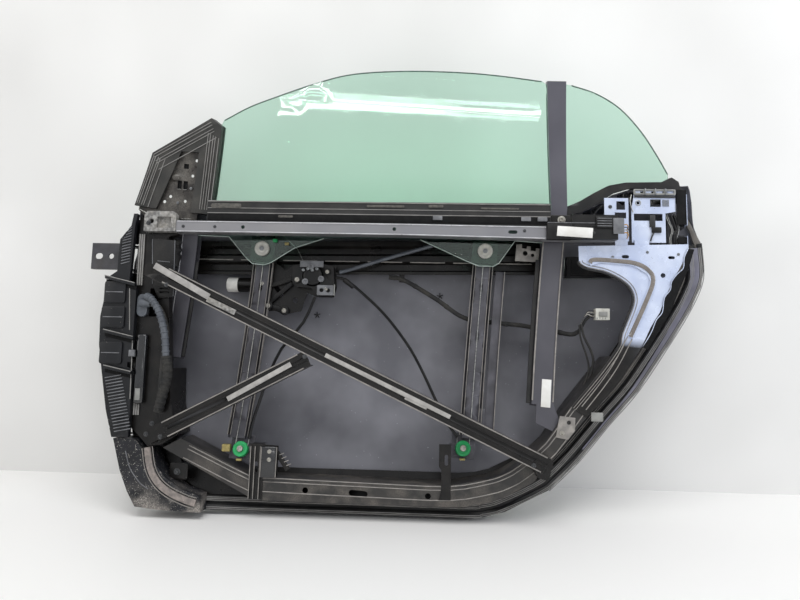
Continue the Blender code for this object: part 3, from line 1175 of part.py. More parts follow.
def harness():
    """Door harness with its grommet, and the lead across the door to the latch."""
    grommet = sheet("harness_grommet", slot((0.0925, -0.0920), (0.0925, -0.1180), 0.0110, 6), -0.0090,
                    -GAP, RUBBER)
    fuse(grommet, cylinder("grommet_neck", (0.0900, -0.0105, -0.1000), (0.1120, -0.0105, -0.1010), 0.0092,
                           end_radius=0.0080))
    door = tube("door_harness", smooth_path([
        (0.1128, -0.0105, -0.1011), (0.1190, -0.0106, -0.1026), (0.1300, -0.0108, -0.1120), (0.1420, -0.0100, -0.1360),
        (0.1480, -0.0100, -0.1700), (0.1460, -0.0100, -0.2300), (0.1450, -0.0100, -0.2900),
        (0.1460, -0.0100, -0.3180)]), 0.0070, TAPE, 2)
    cross = tube("cross_harness", smooth_path([
        (0.6050, 0.0870, -0.0230), (0.6400, 0.0870, -0.0300), (0.7100, 0.0850, -0.0700),
        (0.7740, 0.0830, -0.1115), (0.8440, 0.0830, -0.1212), (0.8960, 0.0800, -0.1256),
        (0.9600, 0.0720, -0.1360), (1.0040, 0.0600, -0.1440), (1.0200, 0.0500, -0.1300),
        (1.0300, 0.0450, -0.1120), (1.0430, 0.0400, -0.1030)]), 0.0040, TAPE)
    plug = box("harness_connector", (1.0458, 0.0300, -0.1140), (1.0750, 0.0480, -0.0900), WHITE_PLASTIC)
    return grommet, door, cross, plug


def build():
    """Build every piece of the door."""
    outer_skin()
    inner_rim()
    perimeter_seal()
    bottom_channel()
    hinge_pillar()
    latch_plate()
    rear_plates()
    belt_beam()
    corner_block()
    outer_belt_reinforcement()
    crash_beams()
    hinge_side_cover()
    lower_corner_cover()
    glass_guides()
    divider_bar()
    windows()
    quarter_seal()
    sail()
    belt_seals()
    rail("rail_front", FRONT_RAIL_ALONG, FRONT_RAIL_TOP, FRONT_PULLEY_UP, 1.0)
    rail("rail_rear", REAR_RAIL_ALONG, REAR_RAIL_TOP, REAR_PULLEY_UP, -1.0)
    pulley("pulley_front", FRONT_RAIL_ALONG, FRONT_PULLEY_UP, 1.0)
    pulley("pulley_rear", REAR_RAIL_ALONG, REAR_PULLEY_UP, -1.0)
    window_fixings()
    regulator()
    cables()
    lifter_posts()
    latch()
    outer_handle()
    hinge("upper", UPPER_HINGE_Z, 0.0)
    hinge("lower", LOWER_HINGE_Z, LOWER_LEAF_SWING)
    control_module()
    harness()


build()
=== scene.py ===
"""Dress the car door shell: finishes, fixings, trim strips, wiring and the studio.

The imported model's frame is in metres, with +X to the latch side, +Y out of the car and +Z up.
Details are drawn in millimetres of that frame, and the modelling steps turn them to metres.
The photographed door leans back by six degrees, so the studio is tilted about the upright door.
"""

from __future__ import annotations

import json
import logging
import math
from dataclasses import dataclass
from enum import Enum
from typing import Any, Callable, Iterable, Mapping, Sequence

import bmesh
import bpy
from mathutils import Matrix, Vector

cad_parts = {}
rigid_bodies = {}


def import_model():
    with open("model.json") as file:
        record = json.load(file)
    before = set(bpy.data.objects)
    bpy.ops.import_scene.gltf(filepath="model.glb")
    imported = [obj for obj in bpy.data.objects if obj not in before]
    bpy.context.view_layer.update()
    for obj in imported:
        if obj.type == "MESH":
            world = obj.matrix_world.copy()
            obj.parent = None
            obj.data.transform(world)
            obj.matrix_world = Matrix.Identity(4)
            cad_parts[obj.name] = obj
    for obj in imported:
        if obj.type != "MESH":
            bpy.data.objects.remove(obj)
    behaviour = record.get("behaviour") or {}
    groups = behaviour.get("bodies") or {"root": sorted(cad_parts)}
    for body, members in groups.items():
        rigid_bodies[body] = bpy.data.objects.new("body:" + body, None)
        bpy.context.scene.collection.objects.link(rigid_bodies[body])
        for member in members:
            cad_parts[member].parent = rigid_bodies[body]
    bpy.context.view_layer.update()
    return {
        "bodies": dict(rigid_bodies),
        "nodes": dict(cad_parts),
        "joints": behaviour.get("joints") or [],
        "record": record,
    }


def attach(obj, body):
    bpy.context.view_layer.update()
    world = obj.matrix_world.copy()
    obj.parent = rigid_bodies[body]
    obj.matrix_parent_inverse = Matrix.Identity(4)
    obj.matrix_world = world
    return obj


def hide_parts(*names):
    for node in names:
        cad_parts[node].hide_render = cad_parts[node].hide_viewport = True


log = logging.getLogger("door")

Point = Sequence[float]
Piece = bpy.types.Object
Tree = bpy.types.NodeTree

FRAME: dict[str, Any] = {}

MM = 1000.0
INBOARD = Vector((0.0, -1.0, 0.0))

LEAN = math.radians(6.0)
SIDEWAYS = Vector((1.0, 0.0, 0.0))
ROOM_UP = Vector((0.0, -math.sin(LEAN), math.cos(LEAN)))
ROOM_BACK = Vector((0.0, math.cos(LEAN), math.sin(LEAN)))

# The glass is part of a cylinder, which touches the upright at this place, in metres.
GLASS_RADIUS = 1.450
GLASS_TANGENT = Vector((0.560, 0.048, -0.060))
TRAVEL_LEAN = math.radians(4.2)
GLASS_AXIS = Vector((math.cos(TRAVEL_LEAN), 0.0, -math.sin(TRAVEL_LEAN)))
GLASS_RISE = Vector((math.sin(TRAVEL_LEAN), 0.0, math.cos(TRAVEL_LEAN)))

# Normal, first place, last place and step of parallel cuts, in metres.
Cuts = Sequence[tuple[Vector, float, float, float]]
GLASS_CUTS: Cuts = ((Vector((1, 0, 0)), -0.50, 0.65, 0.020), (Vector((0, 0, 1)), -0.40, 0.50, 0.012))


def mm(place: Point) -> Vector:
    """Turn a place in millimetres to metres."""
    return Vector([value / MM for value in place])


def glass_point(along: float, depth: float, up: float) -> Vector:
    """Place of a point of the unrolled glass, all in metres.

    Args:
        along: Distance along the glass cylinder's axis, to the latch side.
        depth: Distance outboard of the glass's middle.
        up: Arc length up the glass.

    Returns:
        The point in the door's frame.
    """
    angle = up / GLASS_RADIUS
    reach = GLASS_RADIUS + depth
    return (GLASS_TANGENT + GLASS_AXIS * along + GLASS_RISE * reach * math.sin(angle)
            + Vector((0.0, reach * math.cos(angle) - GLASS_RADIUS, 0.0)))


def unrolled(point: Vector) -> Vector:
    """Turn a point of the door's frame to (along, depth, up) on the unrolled glass.

    Args:
        point: A place in the door's frame, in metres.

    Returns:
        Its place on the unrolled glass, in metres.
    """
    away = point - GLASS_TANGENT
    high, deep = away.dot(GLASS_RISE), away.y + GLASS_RADIUS
    return Vector((away.dot(GLASS_AXIS), math.hypot(high, deep) - GLASS_RADIUS,
                   GLASS_RADIUS * math.atan2(high, deep)))


def on_glass(along: float, depth: float, up: float) -> Vector:
    """Place in millimetres of a point of the unrolled glass in millimetres."""
    return glass_point(along / MM, depth / MM, up / MM) * MM


def glass_line(line: Iterable[Point], depth: float) -> list[Vector]:
    """Lay a line of (along, up) points on the glass at a depth."""
    return [on_glass(along, depth, up) for along, up in line]


def glass_inward(up: float) -> Vector:
    """Direction from the glass to the cabin, at an arc length in millimetres up it."""
    return -(glass_point(0.0, 1.0, up / MM) - glass_point(0.0, 0.0, up / MM)).normalized()


def ease(value: float) -> float:
    """Smooth step from 0 to 1."""
    value = min(1.0, max(0.0, value))
    return value * value * (3.0 - 2.0 * value)


def skin_depth(x: float, z: float) -> float:
    """Depth of the outer skin's outside at a place seen from the cabin, all in metres.

    Args:
        x: Distance to the latch side.
        z: Height.

    Returns:
        The skin's depth there.
    """
    belt = 0.118 + 0.052 * ease((x - 1.0) / 0.12)
    shoulder = 0.044 * ease(1.0 - (belt - z) / 0.085)
    return 0.130 - (z + 0.080) ** 2 / 3.2 - (x - 0.640) ** 2 / 12.0 - shoulder


def skin_line(line: Iterable[Point], rise: float) -> list[Point]:
    """Lay a line of (x, z) points on the crowned skin at a rise, all in millimetres."""
    return [(x, skin_depth(x / MM, z / MM) * MM + rise, z) for x, z in line]


def at_depth(line: Iterable[Point], depth: float) -> list[Point]:
    """Lay a line of (x, z) points at one depth."""
    return [(x, depth, z) for x, z in line]


def smooth_path(points: Iterable[Point], steps: int) -> list[Vector]:
    """Points along a smooth curve through the given points, with so many steps between two.

    Args:
        points: The points that the curve passes.
        steps: Steps between two of them.

    Returns:
        The curve's points, with both ends.
    """
    nodes = [Vector(point) for point in points]
    nodes = [2 * nodes[0] - nodes[1], *nodes, 2 * nodes[-1] - nodes[-2]]
    path = []
    for before, start, end, after in zip(nodes, nodes[1:], nodes[2:], nodes[3:]):
        for step in range(steps):
            t = step / steps
            path.append(0.5 * (2 * start + (end - before) * t
                               + (2 * before - 5 * start + 4 * end - after) * t ** 2
                               + (3 * start - before - 3 * end + after) * t ** 3))
    path.append(nodes[-2])
    return path


def inset_path(points: Sequence[Point], distance: float) -> list[tuple[float, float]]:
    """Move an open line of (x, z) points to its left by a distance.

    Args:
        points: The line's points.
        distance: How far it moves.

    Returns:
        The moved line as (x, z) points.
    """
    flat = [Vector(point[:2]) for point in points]
    moved = []
    for before, here, after in zip([flat[0], *flat], flat, [*flat[1:], flat[-1]]):
        way = (after - before).normalized()
        moved.append((here.x - way.y * distance, here.y + way.x * distance))
    return moved


def ribbon(points: Sequence[Point], width: float) -> list[tuple[float, float]]:
    """Outline of a band of a width along an open line of (x, z) points."""
    return inset_path(points, width / 2.0) + inset_path(points, -width / 2.0)[::-1]


def ring(x: float, z: float, radius: float, count: int = 16) -> list[tuple[float, float]]:
    """Circle as an outline."""
    turns = [math.tau * step / count for step in range(count)]
    return [(x + radius * math.cos(turn), z + radius * math.sin(turn)) for turn in turns]


def rounded(left: float, low: float, right: float, high: float, radius: float) -> list[tuple[float, float]]:
    """Rectangle with round corners as an outline.

    Args:
        left: Its lowest x.
        low: Its lowest z.
        right: Its highest x.
        high: Its highest z.
        radius: The corners' radius.

    Returns:
        The outline as (x, z) points.
    """
    points = []
    for x, z, start in ((right - radius, high - radius, 0), (left + radius, high - radius, 90),
                        (left + radius, low + radius, 180), (right - radius, low + radius, 270)):
        for step in range(4):
            turn = math.radians(start + 30 * step)
            points.append((x + radius * math.cos(turn), z + radius * math.sin(turn)))
    return points


def linear(colour: str) -> tuple[float, float, float, float]:
    """Turn an sRGB hex colour to linear red, green, blue and an alpha of 1.

    Args:
        colour: Six hex digits.

    Returns:
        Linear red, green, blue and alpha.
    """
    parts = [int(colour[i:i + 2], 16) / 255.0 for i in (0, 2, 4)]
    red, green, blue = (c / 12.92 if c <= 0.04045 else ((c + 0.055) / 1.055) ** 2.4 for c in parts)
    return red, green, blue, 1.0


def add_node(tree: Tree, kind: str, settings: Mapping[Any, Any] | None = None,
             links: Mapping[Any, Any] | None = None) -> bpy.types.Node:
    """Add a node with its settings and links.

    Args:
        tree: The tree that gets the node.
        kind: The node's type.
        settings: Properties by name, and socket values by socket name or number.
        links: Output sockets by the name or number of the input that each one feeds.

    Returns:
        The new node.
    """
    node = tree.nodes.new(kind)
    for key, value in (settings or {}).items():
        if isinstance(key, int) or (key in node.inputs and not hasattr(node, key)):
            node.inputs[key].default_value = value
        else:
            setattr(node, key, value)
    for key, source in (links or {}).items():
        tree.links.new(source, node.inputs[key])
    return node


def new_material(name: str) -> tuple[bpy.types.Material, Tree, bpy.types.Node, Any]:
    """Start a material: the material, its tree, its shader and its Object coordinates.

    Args:
        name: The material's name.

    Returns:
        The four of them, in that order.
    """
    made = bpy.data.materials.new(name)
    made.use_nodes = True
    tree = made.node_tree
    return made, tree, tree.nodes["Principled BSDF"], add_node(tree, "ShaderNodeTexCoord").outputs["Object"]


def clear_where(tree: Tree, shader: bpy.types.Node, switch: Any,
                settings: Mapping[Any, Any] | None = None) -> None:
    """Let light straight through a material wherever a socket is 1.

    Args:
        tree: The material's tree.
        shader: The shader that shows elsewhere.
        switch: The socket that is 1 where light goes through.
        settings: Settings of the clear shader, such as its tint.
    """
    clear = add_node(tree, "ShaderNodeBsdfTransparent", settings)
    mix = add_node(tree, "ShaderNodeMixShader", links={0: switch, 1: shader.outputs[0], 2: clear.outputs[0]})
    tree.links.new(mix.outputs[0], tree.nodes["Material Output"].inputs["Surface"])


class Grain(Enum):
    """How a surface's fine relief runs."""

    EVEN = (1.0, 1.0, 1.0)
    ALONG_X = (0.06, 1.0, 1.0)
    UPRIGHT = (1.0, 1.0, 0.06)


@dataclass(frozen=True)
class Finish:
    """One procedural surface. Sizes are in millimetres and colours are sRGB hex.

    The pairs are low and high roughness, the grain's and the waves' size and depth, the dust's
    colour and amount, and the heights in metres where the dust starts to thin and ends. A speck
    has a colour, a spacing and a size, and a fade has a colour and two heights in metres.
    """

    name: str
    colour: str
    accent: str
    patch: float
    roughness: tuple[float, float]
    metallic: float = 0.0
    coat: float = 0.0
    grain: tuple[float, float] = (0.8, 0.02)
    run: Grain = Grain.EVEN
    dust: tuple[str, float] | None = None
    dust_heights: tuple[float, float] | None = None
    speck: tuple[str, float, float] | None = None
    wave: tuple[float, float] | None = None
    edge: float = 0.7
    fade: tuple[str, float, float] | None = None
    specular: float = 0.5

    def noise(self, tree: Tree, place: Any, size: float, detail: float = 3.0) -> Any:
        """Noise whose features have a size in millimetres."""
        return add_node(tree, "ShaderNodeTexNoise", {"Scale": MM / size, "Detail": detail},
                        {"Vector": place}).outputs[0]

    def ramp(self, tree: Tree, source: Any, low: float, high: float, start: float = 0.0,
             end: float = 1.0) -> Any:
        """Map a stretch of a value to another stretch, clamped."""
        return add_node(tree, "ShaderNodeMapRange", {1: low, 2: high, 3: start, 4: end},
                        {0: source}).outputs[0]

    def mixed(self, tree: Tree, factor: Any, first: Any, second: str) -> Any:
        """Mix a colour or a colour socket with a second colour by a factor socket.

        Args:
            tree: The material's tree.
            factor: The factor's socket.
            first: A hex colour or a colour socket.
            second: The second hex colour.

        Returns:
            The mixed colour's socket.
        """
        settings: dict[Any, Any] = {"data_type": "RGBA", 7: linear(second)}
        links = {0: factor}
        if isinstance(first, str):
            settings[6] = linear(first)
        else:
            links[6] = first
        return add_node(tree, "ShaderNodeMix", settings, links).outputs[2]

    def product(self, tree: Tree, first: Any, second: Any) -> Any:
        """Multiply a socket by a socket or a number.

        Args:
            tree: The material's tree.
            first: The socket.
            second: The other socket or the number.

        Returns:
            The product's socket.
        """
        settings, links = {"operation": "MULTIPLY"}, {0: first}
        (settings if isinstance(second, float) else links)[1] = second
        return add_node(tree, "ShaderNodeMath", settings, links).outputs[0]

    def height_ramp(self, tree: Tree, place: Any, low: float, high: float) -> Any:
        """1 below a low height and 0 above a high one."""
        parts = add_node(tree, "ShaderNodeSeparateXYZ", links={0: place})
        return self.ramp(tree, parts.outputs[2], low, high, 1.0, 0.0)

    def bump(self, tree: Tree, height: Any, depth: float, normal: Any) -> Any:
        """Add relief of a depth in millimetres to a normal."""
        return add_node(tree, "ShaderNodeBump", {"Strength": 1.0, "Distance": depth / MM},
                        {"Height": height, "Normal": normal}).outputs[0]

    def dust_veil(self, tree: Tree, place: Any, amount: float) -> Any:
        """How much dust lies at each place.

        Args:
            tree: The material's tree.
            place: The Object coordinates.
            amount: How thick it is at most, up to 1.

        Returns:
            The veil's socket, from 0 to 1.
        """
        veil = self.product(tree, self.ramp(tree, self.noise(tree, place, 38.0, 5.0), 0.42, 0.68),
                            self.ramp(tree, self.noise(tree, place, 2.4, 4.0), 0.36, 0.62, 0.35, 1.0))
        veil = self.product(tree, veil, amount)
        if self.dust_heights:
            veil = self.product(tree, veil, self.height_ramp(tree, place, *self.dust_heights))
        return veil

    def build(self) -> bpy.types.Material:
        """Make the material.

        Returns:
            The new material, with its nodes on Object coordinates.
        """
        made, tree, shader, place = new_material(self.name)
        colour = self.mixed(tree, self.ramp(tree, self.noise(tree, place, self.patch), 0.38, 0.66),
                            self.colour, self.accent)
        if self.fade:
            drift = self.ramp(tree, self.noise(tree, place, 60.0), 0.2, 0.7, 0.7, 1.3)
            reach = self.product(tree, self.height_ramp(tree, place, *self.fade[1:]), drift)
            colour = self.mixed(tree, self.ramp(tree, reach, 0.2, 0.9), colour, self.fade[0])
        roughness = self.ramp(tree, self.noise(tree, place, self.patch * 0.4), 0.3, 0.7, *self.roughness)
        if self.speck:
            shade, spacing, size = self.speck
            spots = add_node(tree, "ShaderNodeTexVoronoi", {"Scale": MM / spacing},
                             {"Vector": place}).outputs["Distance"]
            near = self.ramp(tree, spots, size * 0.5, size, 1.0, 0.0)
            some = self.ramp(tree, self.noise(tree, place, spacing * 2.3), 0.50, 0.60)
            colour = self.mixed(tree, self.product(tree, near, some), colour, shade)
        if self.dust:
            veil = self.dust_veil(tree, place, self.dust[1])
            colour = self.mixed(tree, veil, colour, self.dust[0])
            roughness = add_node(tree, "ShaderNodeMath", {"operation": "ADD", "use_clamp": True},
                                 {0: roughness, 1: self.product(tree, veil, 0.45)}).outputs[0]
        tree.links.new(colour, shader.inputs["Base Color"])
        tree.links.new(roughness, shader.inputs["Roughness"])
        for socket, value in (("Metallic", self.metallic), ("Specular IOR Level", self.specular),
                              ("Coat Weight", self.coat), ("Coat Roughness", 0.06)):
            shader.inputs[socket].default_value = value
        normal = add_node(tree, "ShaderNodeBevel", {"samples": 4, "Radius": self.edge / MM}).outputs[0]
        if self.wave:
            normal = self.bump(tree, self.noise(tree, place, self.wave[0], 2.0), self.wave[1], normal)
        stretched = add_node(tree, "ShaderNodeMapping", {"Scale": self.run.value}, {"Vector": place})
        fine = self.noise(tree, stretched.outputs[0], self.grain[0], 4.0)
        normal = self.bump(tree, fine, self.grain[1], normal)
        tree.links.new(normal, shader.inputs["Normal"])
        return made


@dataclass(frozen=True)
class TintedGlass:
    """Green float glass, bent and tempered: clear, glossy, deeper green through its edges."""

    name: str = "tinted_float_glass"
    colour: str = "cceadb"

    def build(self) -> bpy.types.Material:
        """Make the material, with shadow rays let through as the real tint lets them.

        Returns:
            The new material.
        """
        made, tree, shader, place = new_material(self.name)
        for socket, value in (("Base Color", linear(self.colour)), ("Transmission Weight", 1.0),
                              ("IOR", 1.52), ("Specular IOR Level", 0.28)):
            shader.inputs[socket].default_value = value
        film = add_node(tree, "ShaderNodeTexNoise", {"Scale": MM / 45.0, "Detail": 3.0}, {"Vector": place})
        rough = add_node(tree, "ShaderNodeMapRange", {1: 0.35, 2: 0.75, 3: 0.0, 4: 0.035},
                         {0: film.outputs[0]})
        tree.links.new(rough.outputs[0], shader.inputs["Roughness"])
        shadow = add_node(tree, "ShaderNodeLightPath").outputs["Is Shadow Ray"]
        clear_where(tree, shader, shadow, {"Color": linear(self.colour)})
        return made


class Coat(Enum):
    """The finishes of the door's pieces, by what each one is on the real door; some also carry painted
    highlights, reflections and shadows.
    """

    # Cathodic dip primer over pressed steel: near black and glossy, with a thin veil of dust.
    DIP_PRIMER = Finish("dip_primer_steel", "0d0c0c", "151312", 90, (0.24, 0.38), dust=("77716a", 0.06),
                        wave=(45, 0.30), specular=0.30)
    # The same primer on the box channel, dusty along the foot of the door.
    CHANNEL_PRIMER = Finish("dusty_primer_steel", "232221", "302d2b", 70, (0.28, 0.44), dust=("8b8379", 0.45),
                            dust_heights=(-0.49, -0.33), wave=(35, 0.3))
    # The skin's inside: thin, dull blue-black primer with pale specks of dust.
    INNER_SKIN = Finish("skin_primer", "5e5e64", "78787e", 130, (0.44, 0.60), grain=(2.2, 0.10),
                        speck=("b9b9bf", 9, 0.10), wave=(110, 0.8))
    # The skin's outside: black body paint under clear lacquer.
    BODY_PAINT = Finish("black_body_lacquer", "0d0e10", "111215", 200, (0.22, 0.26), coat=1.0,
                        grain=(0.9, 0.004), edge=0.4)
    # The latch plates: black primer painted bright blue-grey as a reflection of the white ceiling and wall; the
    # painted reflection fades to the black primer lower down.
    PAINT_MIST = Finish("painted_reflection_on_black_primer", "cfd8ec", "b7c2dc", 60, (0.18, 0.30), 0.1, 0.6, (1.2, 0.03),
                        dust=("5a5b62", 0.10), speck=("4a4c54", 7, 0.12), wave=(24, 0.30),
                        fade=("1d1e21", -0.176, -0.148))
    # Brown-grey crest of the rolled bead, darker than the painted reflection on the plate around it.
    BEAD_CREST = Finish("brown_grey_bead_crest", "6c655f", "7d766f", 30, (0.22, 0.34), 0.2, 0.8, wave=(18, 0.2))
    # Belt beam: grey anodised sheet, rubbed along its length.
    ANODISED = Finish("grey_anodised_beam", "838387", "8c8b8d", 120, (0.30, 0.40), 0.45, grain=(1.4, 0.012),
                      run=Grain.ALONG_X, dust=("807b75", 0.12))
    # Pale grey lip of the beam and edge of the front guide: painted highlight.
    BEAM_EDGE = Finish("painted_highlight_beam_edge", "c9c9cc", "a9a8ab", 30, (0.26, 0.38), 0.3)
    # Pale grey along folds, lips and creases of black steel: painted highlight; also the colour of a few small
    # plates.
    RUBBED_EDGE = Finish("painted_highlight_edge", "7d7975", "96918b", 14, (0.30, 0.45), edge=0.3)
    # Lifter rail in grey painted steel with a faint violet cast.
    RAIL_STEEL = Finish("painted_rail_steel", "414045", "5a595f", 50, (0.30, 0.44), 0.25, grain=(1.2, 0.02),
                        run=Grain.UPRIGHT, dust=("2c2b2b", 0.30))
    # Pale line along the panes' lower edges, a painted highlight, and the dark one of their crowns.
    GLASS_EDGE = Finish("painted_highlight_glass_edge", "c2cec7", "9fb0a7", 20, (0.25, 0.40))
    GLASS_RIM = Finish("dark_glass_rim", "4c5f55", "5d7066", 20, (0.20, 0.35))
    # Pinkish grey road dust caked on the curved rim at the hinge foot.
    CAKED_DUST = Finish("caked_road_dust", "77706c", "998f89", 9, (0.75, 0.92), grain=(1.6, 0.25),
                        speck=("b5aea7", 4, 0.16))
    # Corner cover, black above and speckled grey with road dust at its foot.
    CORNER_DUST = Finish("speckled_corner_cover", "15161a", "222328", 60, (0.28, 0.48), grain=(1.4, 0.08),
                         dust=("aaa39b", 1.0), dust_heights=(-0.525, -0.460), speck=("d2ccc3", 2.3, 0.33),
                         specular=0.35)
    # Grey primer on the flange that shuts against the body.
    SHUT_FLANGE = Finish("grey_primer_flange", "62616c", "7b7a88", 50, (0.30, 0.44), 0.1, grain=(1.4, 0.02),
                         dust=("6a6862", 0.25))
    # Bronze-grey dust film over the black rim inside it.
    RIM_FILM = Finish("dusty_rim_flange", "4f4a45", "656059", 26, (0.35, 0.50), grain=(1.3, 0.03))
    # Film of pale dust on rubber.
    DUST_FILM = Finish("dust_film", "5d5a55", "474542", 4, (0.80, 0.95), grain=(1.1, 0.1))
    # Raw zinc casting with oxide and old sealer.
    ZINC_CASTING = Finish("zinc_casting", "6b6a69", "a5a4a1", 7, (0.55, 0.80), 0.45, grain=(2, 0.45),
                          dust=("b5afa5", 0.7))
    # Carbon-filled polypropylene: fine-grained black moulding.
    BLACK_MOULDING = Finish("black_polypropylene", "0c0c0d", "131314", 90, (0.34, 0.48), grain=(0.9, 0.03),
                            dust=("77726a", 0.07), specular=0.28)
    # Lighter grey on the corners, ribs and louvres of black mouldings: painted highlight; also the colour of a
    # few small mouldings.
    BLACK_EDGE = Finish("painted_highlight_moulding", "5c5d60", "77787b", 20, (0.30, 0.42), edge=0.3)
    # Smooth glossy moulding over the pillar.
    GLOSS_MOULDING = Finish("glossy_black_moulding", "0e0f11", "15161a", 50, (0.12, 0.24), coat=0.6,
                            wave=(30, 0.3))
    # The covers on the hinge side, dusty at the foot.
    DUSTY_MOULDING = Finish("dusty_polypropylene", "131417", "1b1c1f", 70, (0.32, 0.46), grain=(1, 0.04),
                            dust=("a0968b", 0.80), dust_heights=(-0.54, -0.42), speck=("b3ada2", 5, 0.10),
                            specular=0.32)
    # Mid grey moulding of small clips and caps.
    CLIP_GREY = Finish("grey_clip_moulding", "7c7c79", "8f8f8b", 22, (0.40, 0.55), grain=(0.9, 0.03))
    # Pale zinc end of the motor.
    PALE_CAP = Finish("pale_motor_cap", "f0ede7", "dedbd5", 14, (0.30, 0.45))
    # Weather-worn EPDM rubber.
    EPDM = Finish("epdm_rubber", "1a1a1b", "252525", 60, (0.40, 0.56), grain=(1.1, 0.05),
                  dust=("6b665e", 0.12), specular=0.34)
    # Blue-grey rubber of the harness grommet.
    HOSE_RUBBER = Finish("blue_grey_hose_rubber", "4a4e55", "595d63", 24, (0.45, 0.60), grain=(1.2, 0.04))
    # Pale grey on fine rubber beads, ribs and lips: painted highlight.
    EPDM_EDGE = Finish("painted_highlight_rubber", "7a7875", "8e8c89", 24, (0.45, 0.60), edge=0.2)
    # Near-black foam seam between the latch plate and the rim, drawn with its painted shadow; the same
    # near-black is laid as painted shadow in the belt seal's channel, below the side cover's shelves, behind the
    # sail's holes and behind the fixing discs.
    SEAM_RUBBER = Finish("seam_rubber_and_painted_shadow", "060607", "0c0c0d", 20, (0.60, 0.80), grain=(1, 0.08), specular=0.20)
    # Ribbed rubber of the sail frame, grey with wear.
    WORN_EPDM = Finish("worn_epdm_rubber", "20201e", "302f2c", 40, (0.46, 0.62), grain=(2.4, 0.08),
                       run=Grain.UPRIGHT, dust=("77726b", 0.18))
    # Satin bar of the divider, a little violet where it reflects the sky.
    DIVIDER = Finish("anodised_divider", "56555d", "605f67", 120, (0.28, 0.36), 0.3, grain=(1.5, 0.01),
                     run=Grain.UPRIGHT)
    # Guide of folded grey sheet.
    GUIDE_SHEET = Finish("grey_guide_sheet", "4b4a50", "57565c", 120, (0.28, 0.38), 0.25, grain=(1.5, 0.01),
                         run=Grain.UPRIGHT)
    # Bare pressed steel plate with worn primer.
    WORN_STEEL = Finish("worn_primer_plate", "211e1c", "3b3733", 14, (0.22, 0.45), 0.2, grain=(1.2, 0.06),
                        dust=("a39e95", 0.35))
    # Zinc-plated steel.
    ZINC_PLATE = Finish("zinc_plate", "8d8f90", "75777a", 12, (0.28, 0.45), 0.9, grain=(1, 0.02))
    # Latch case in dark plated steel.
    LATCH_CASE = Finish("dark_latch_case", "2c2c2e", "3c3c3f", 9, (0.30, 0.48), 0.6, grain=(1.4, 0.15),
                        wave=(7, 0.5))
    # Bright steel wire and pins.
    BRIGHT_WIRE = Finish("bright_steel_wire", "b2b2ae", "8f8f8b", 5, (0.24, 0.40), 1.0, grain=(0.8, 0.05),
                         edge=0.2)
    # Hinge forgings in dark phosphate.
    PHOSPHATE = Finish("phosphated_forging", "46464a", "38383b", 18, (0.38, 0.55), 0.6, grain=(1.3, 0.05),
                       dust=("8a857c", 0.15))
    # Green acetal of the pulleys.
    GREEN_ACETAL = Finish("green_acetal", "1f9a55", "2aa963", 10, (0.30, 0.42), grain=(0.7, 0.01))
    # White nylon discs and plugs.
    WHITE_NYLON = Finish("white_nylon", "c9c8c0", "b4b2a9", 9, (0.32, 0.48), dust=("807b70", 0.4))
    # Grey glass-filled nylon carriers.
    GREY_NYLON = Finish("grey_nylon", "191a19", "242524", 14, (0.36, 0.50), grain=(0.9, 0.03))
    # Cloth tape round the harness.
    CLOTH_TAPE = Finish("cloth_harness_tape", "1a1a1b", "272726", 8, (0.80, 0.92), grain=(1.3, 0.12),
                        dust=("6d685f", 0.25))
    # Pale felt strips against rattles.
    FELT = Finish("grey_felt", "adaaa6", "9a9794", 14, (0.90, 0.98), grain=(1.1, 0.25), dust=("5f5b56", 0.22),
                  edge=0.3)
    # Blank paper labels.
    PAPER = Finish("coated_paper", "e4e3df", "d8d6d0", 22, (0.45, 0.60), grain=(2, 0.03),
                   dust=("a9a59c", 0.2), wave=(14, 0.25), edge=0.1)
    # Chromated bolt heads.
    BOLT = Finish("chromated_bolt", "b9b6ae", "908c84", 4, (0.28, 0.48), 0.95, grain=(0.8, 0.03), edge=0.3)
    # Blackened screws.
    DARK_SCREW = Finish("blackened_screw", "47484a", "5d5e5f", 4, (0.30, 0.45), 0.8, edge=0.3)
    # Brass-coloured clips.
    SPRING_BRASS = Finish("yellow_clip", "a89a63", "8d8052", 6, (0.40, 0.60), 0.5, grain=(1, 0.08))
    # Insulation of the thin wires.
    WIRE_PALE = Finish("pale_wire", "a7a49c", "8d8a82", 8, (0.45, 0.60), grain=(1, 0.02))
    WIRE_AMBER = Finish("amber_wire", "c08a2c", "a4752a", 8, (0.40, 0.55), grain=(1, 0.02))
    WIRE_DARK = Finish("dark_wire", "161617", "202020", 8, (0.40, 0.55), grain=(1, 0.02))

    @property
    def material(self) -> bpy.types.Material:
        """The material, made the first time that it is asked for."""
        return bpy.data.materials.get(self.value.name) or self.value.build()


def clear_selection() -> None:
    """Leave edit mode and deselect everything."""
    if bpy.context.object is not None and bpy.context.object.mode != "OBJECT":
        bpy.ops.object.mode_set(mode="OBJECT")
    bpy.ops.object.select_all(action="DESELECT")


def pick(piece: Piece) -> None:
    """Make one object the selected and active one.

    Args:
        piece: The object.
    """
    clear_selection()
    piece.select_set(True)
    bpy.context.view_layer.objects.active = piece


def edit(piece: Piece, *steps: tuple[Callable[..., Any], dict[str, Any]]) -> None:
    """Run edit mode steps, each an operator and its settings, on the whole mesh of a piece.

    Args:
        piece: The piece.
        steps: Each operator with its settings, in order.
    """
    pick(piece)
    bpy.ops.object.mode_set(mode="EDIT")
    bpy.ops.mesh.select_all(action="SELECT")
    for step, settings in steps:
        step(**settings)
    bpy.ops.object.mode_set(mode="OBJECT")


def settle(piece: Piece, angle: float = 35.0) -> Piece:
    """Put a piece's place in its mesh and shade it smooth up to an angle.

    Args:
        piece: The piece.
        angle: Degrees up to which an edge is smooth.

    Returns:
        The same piece.
    """
    pick(piece)
    bpy.ops.object.transform_apply(location=True, rotation=True, scale=True)
    bpy.ops.object.shade_smooth_by_angle(angle=math.radians(angle))
    return piece


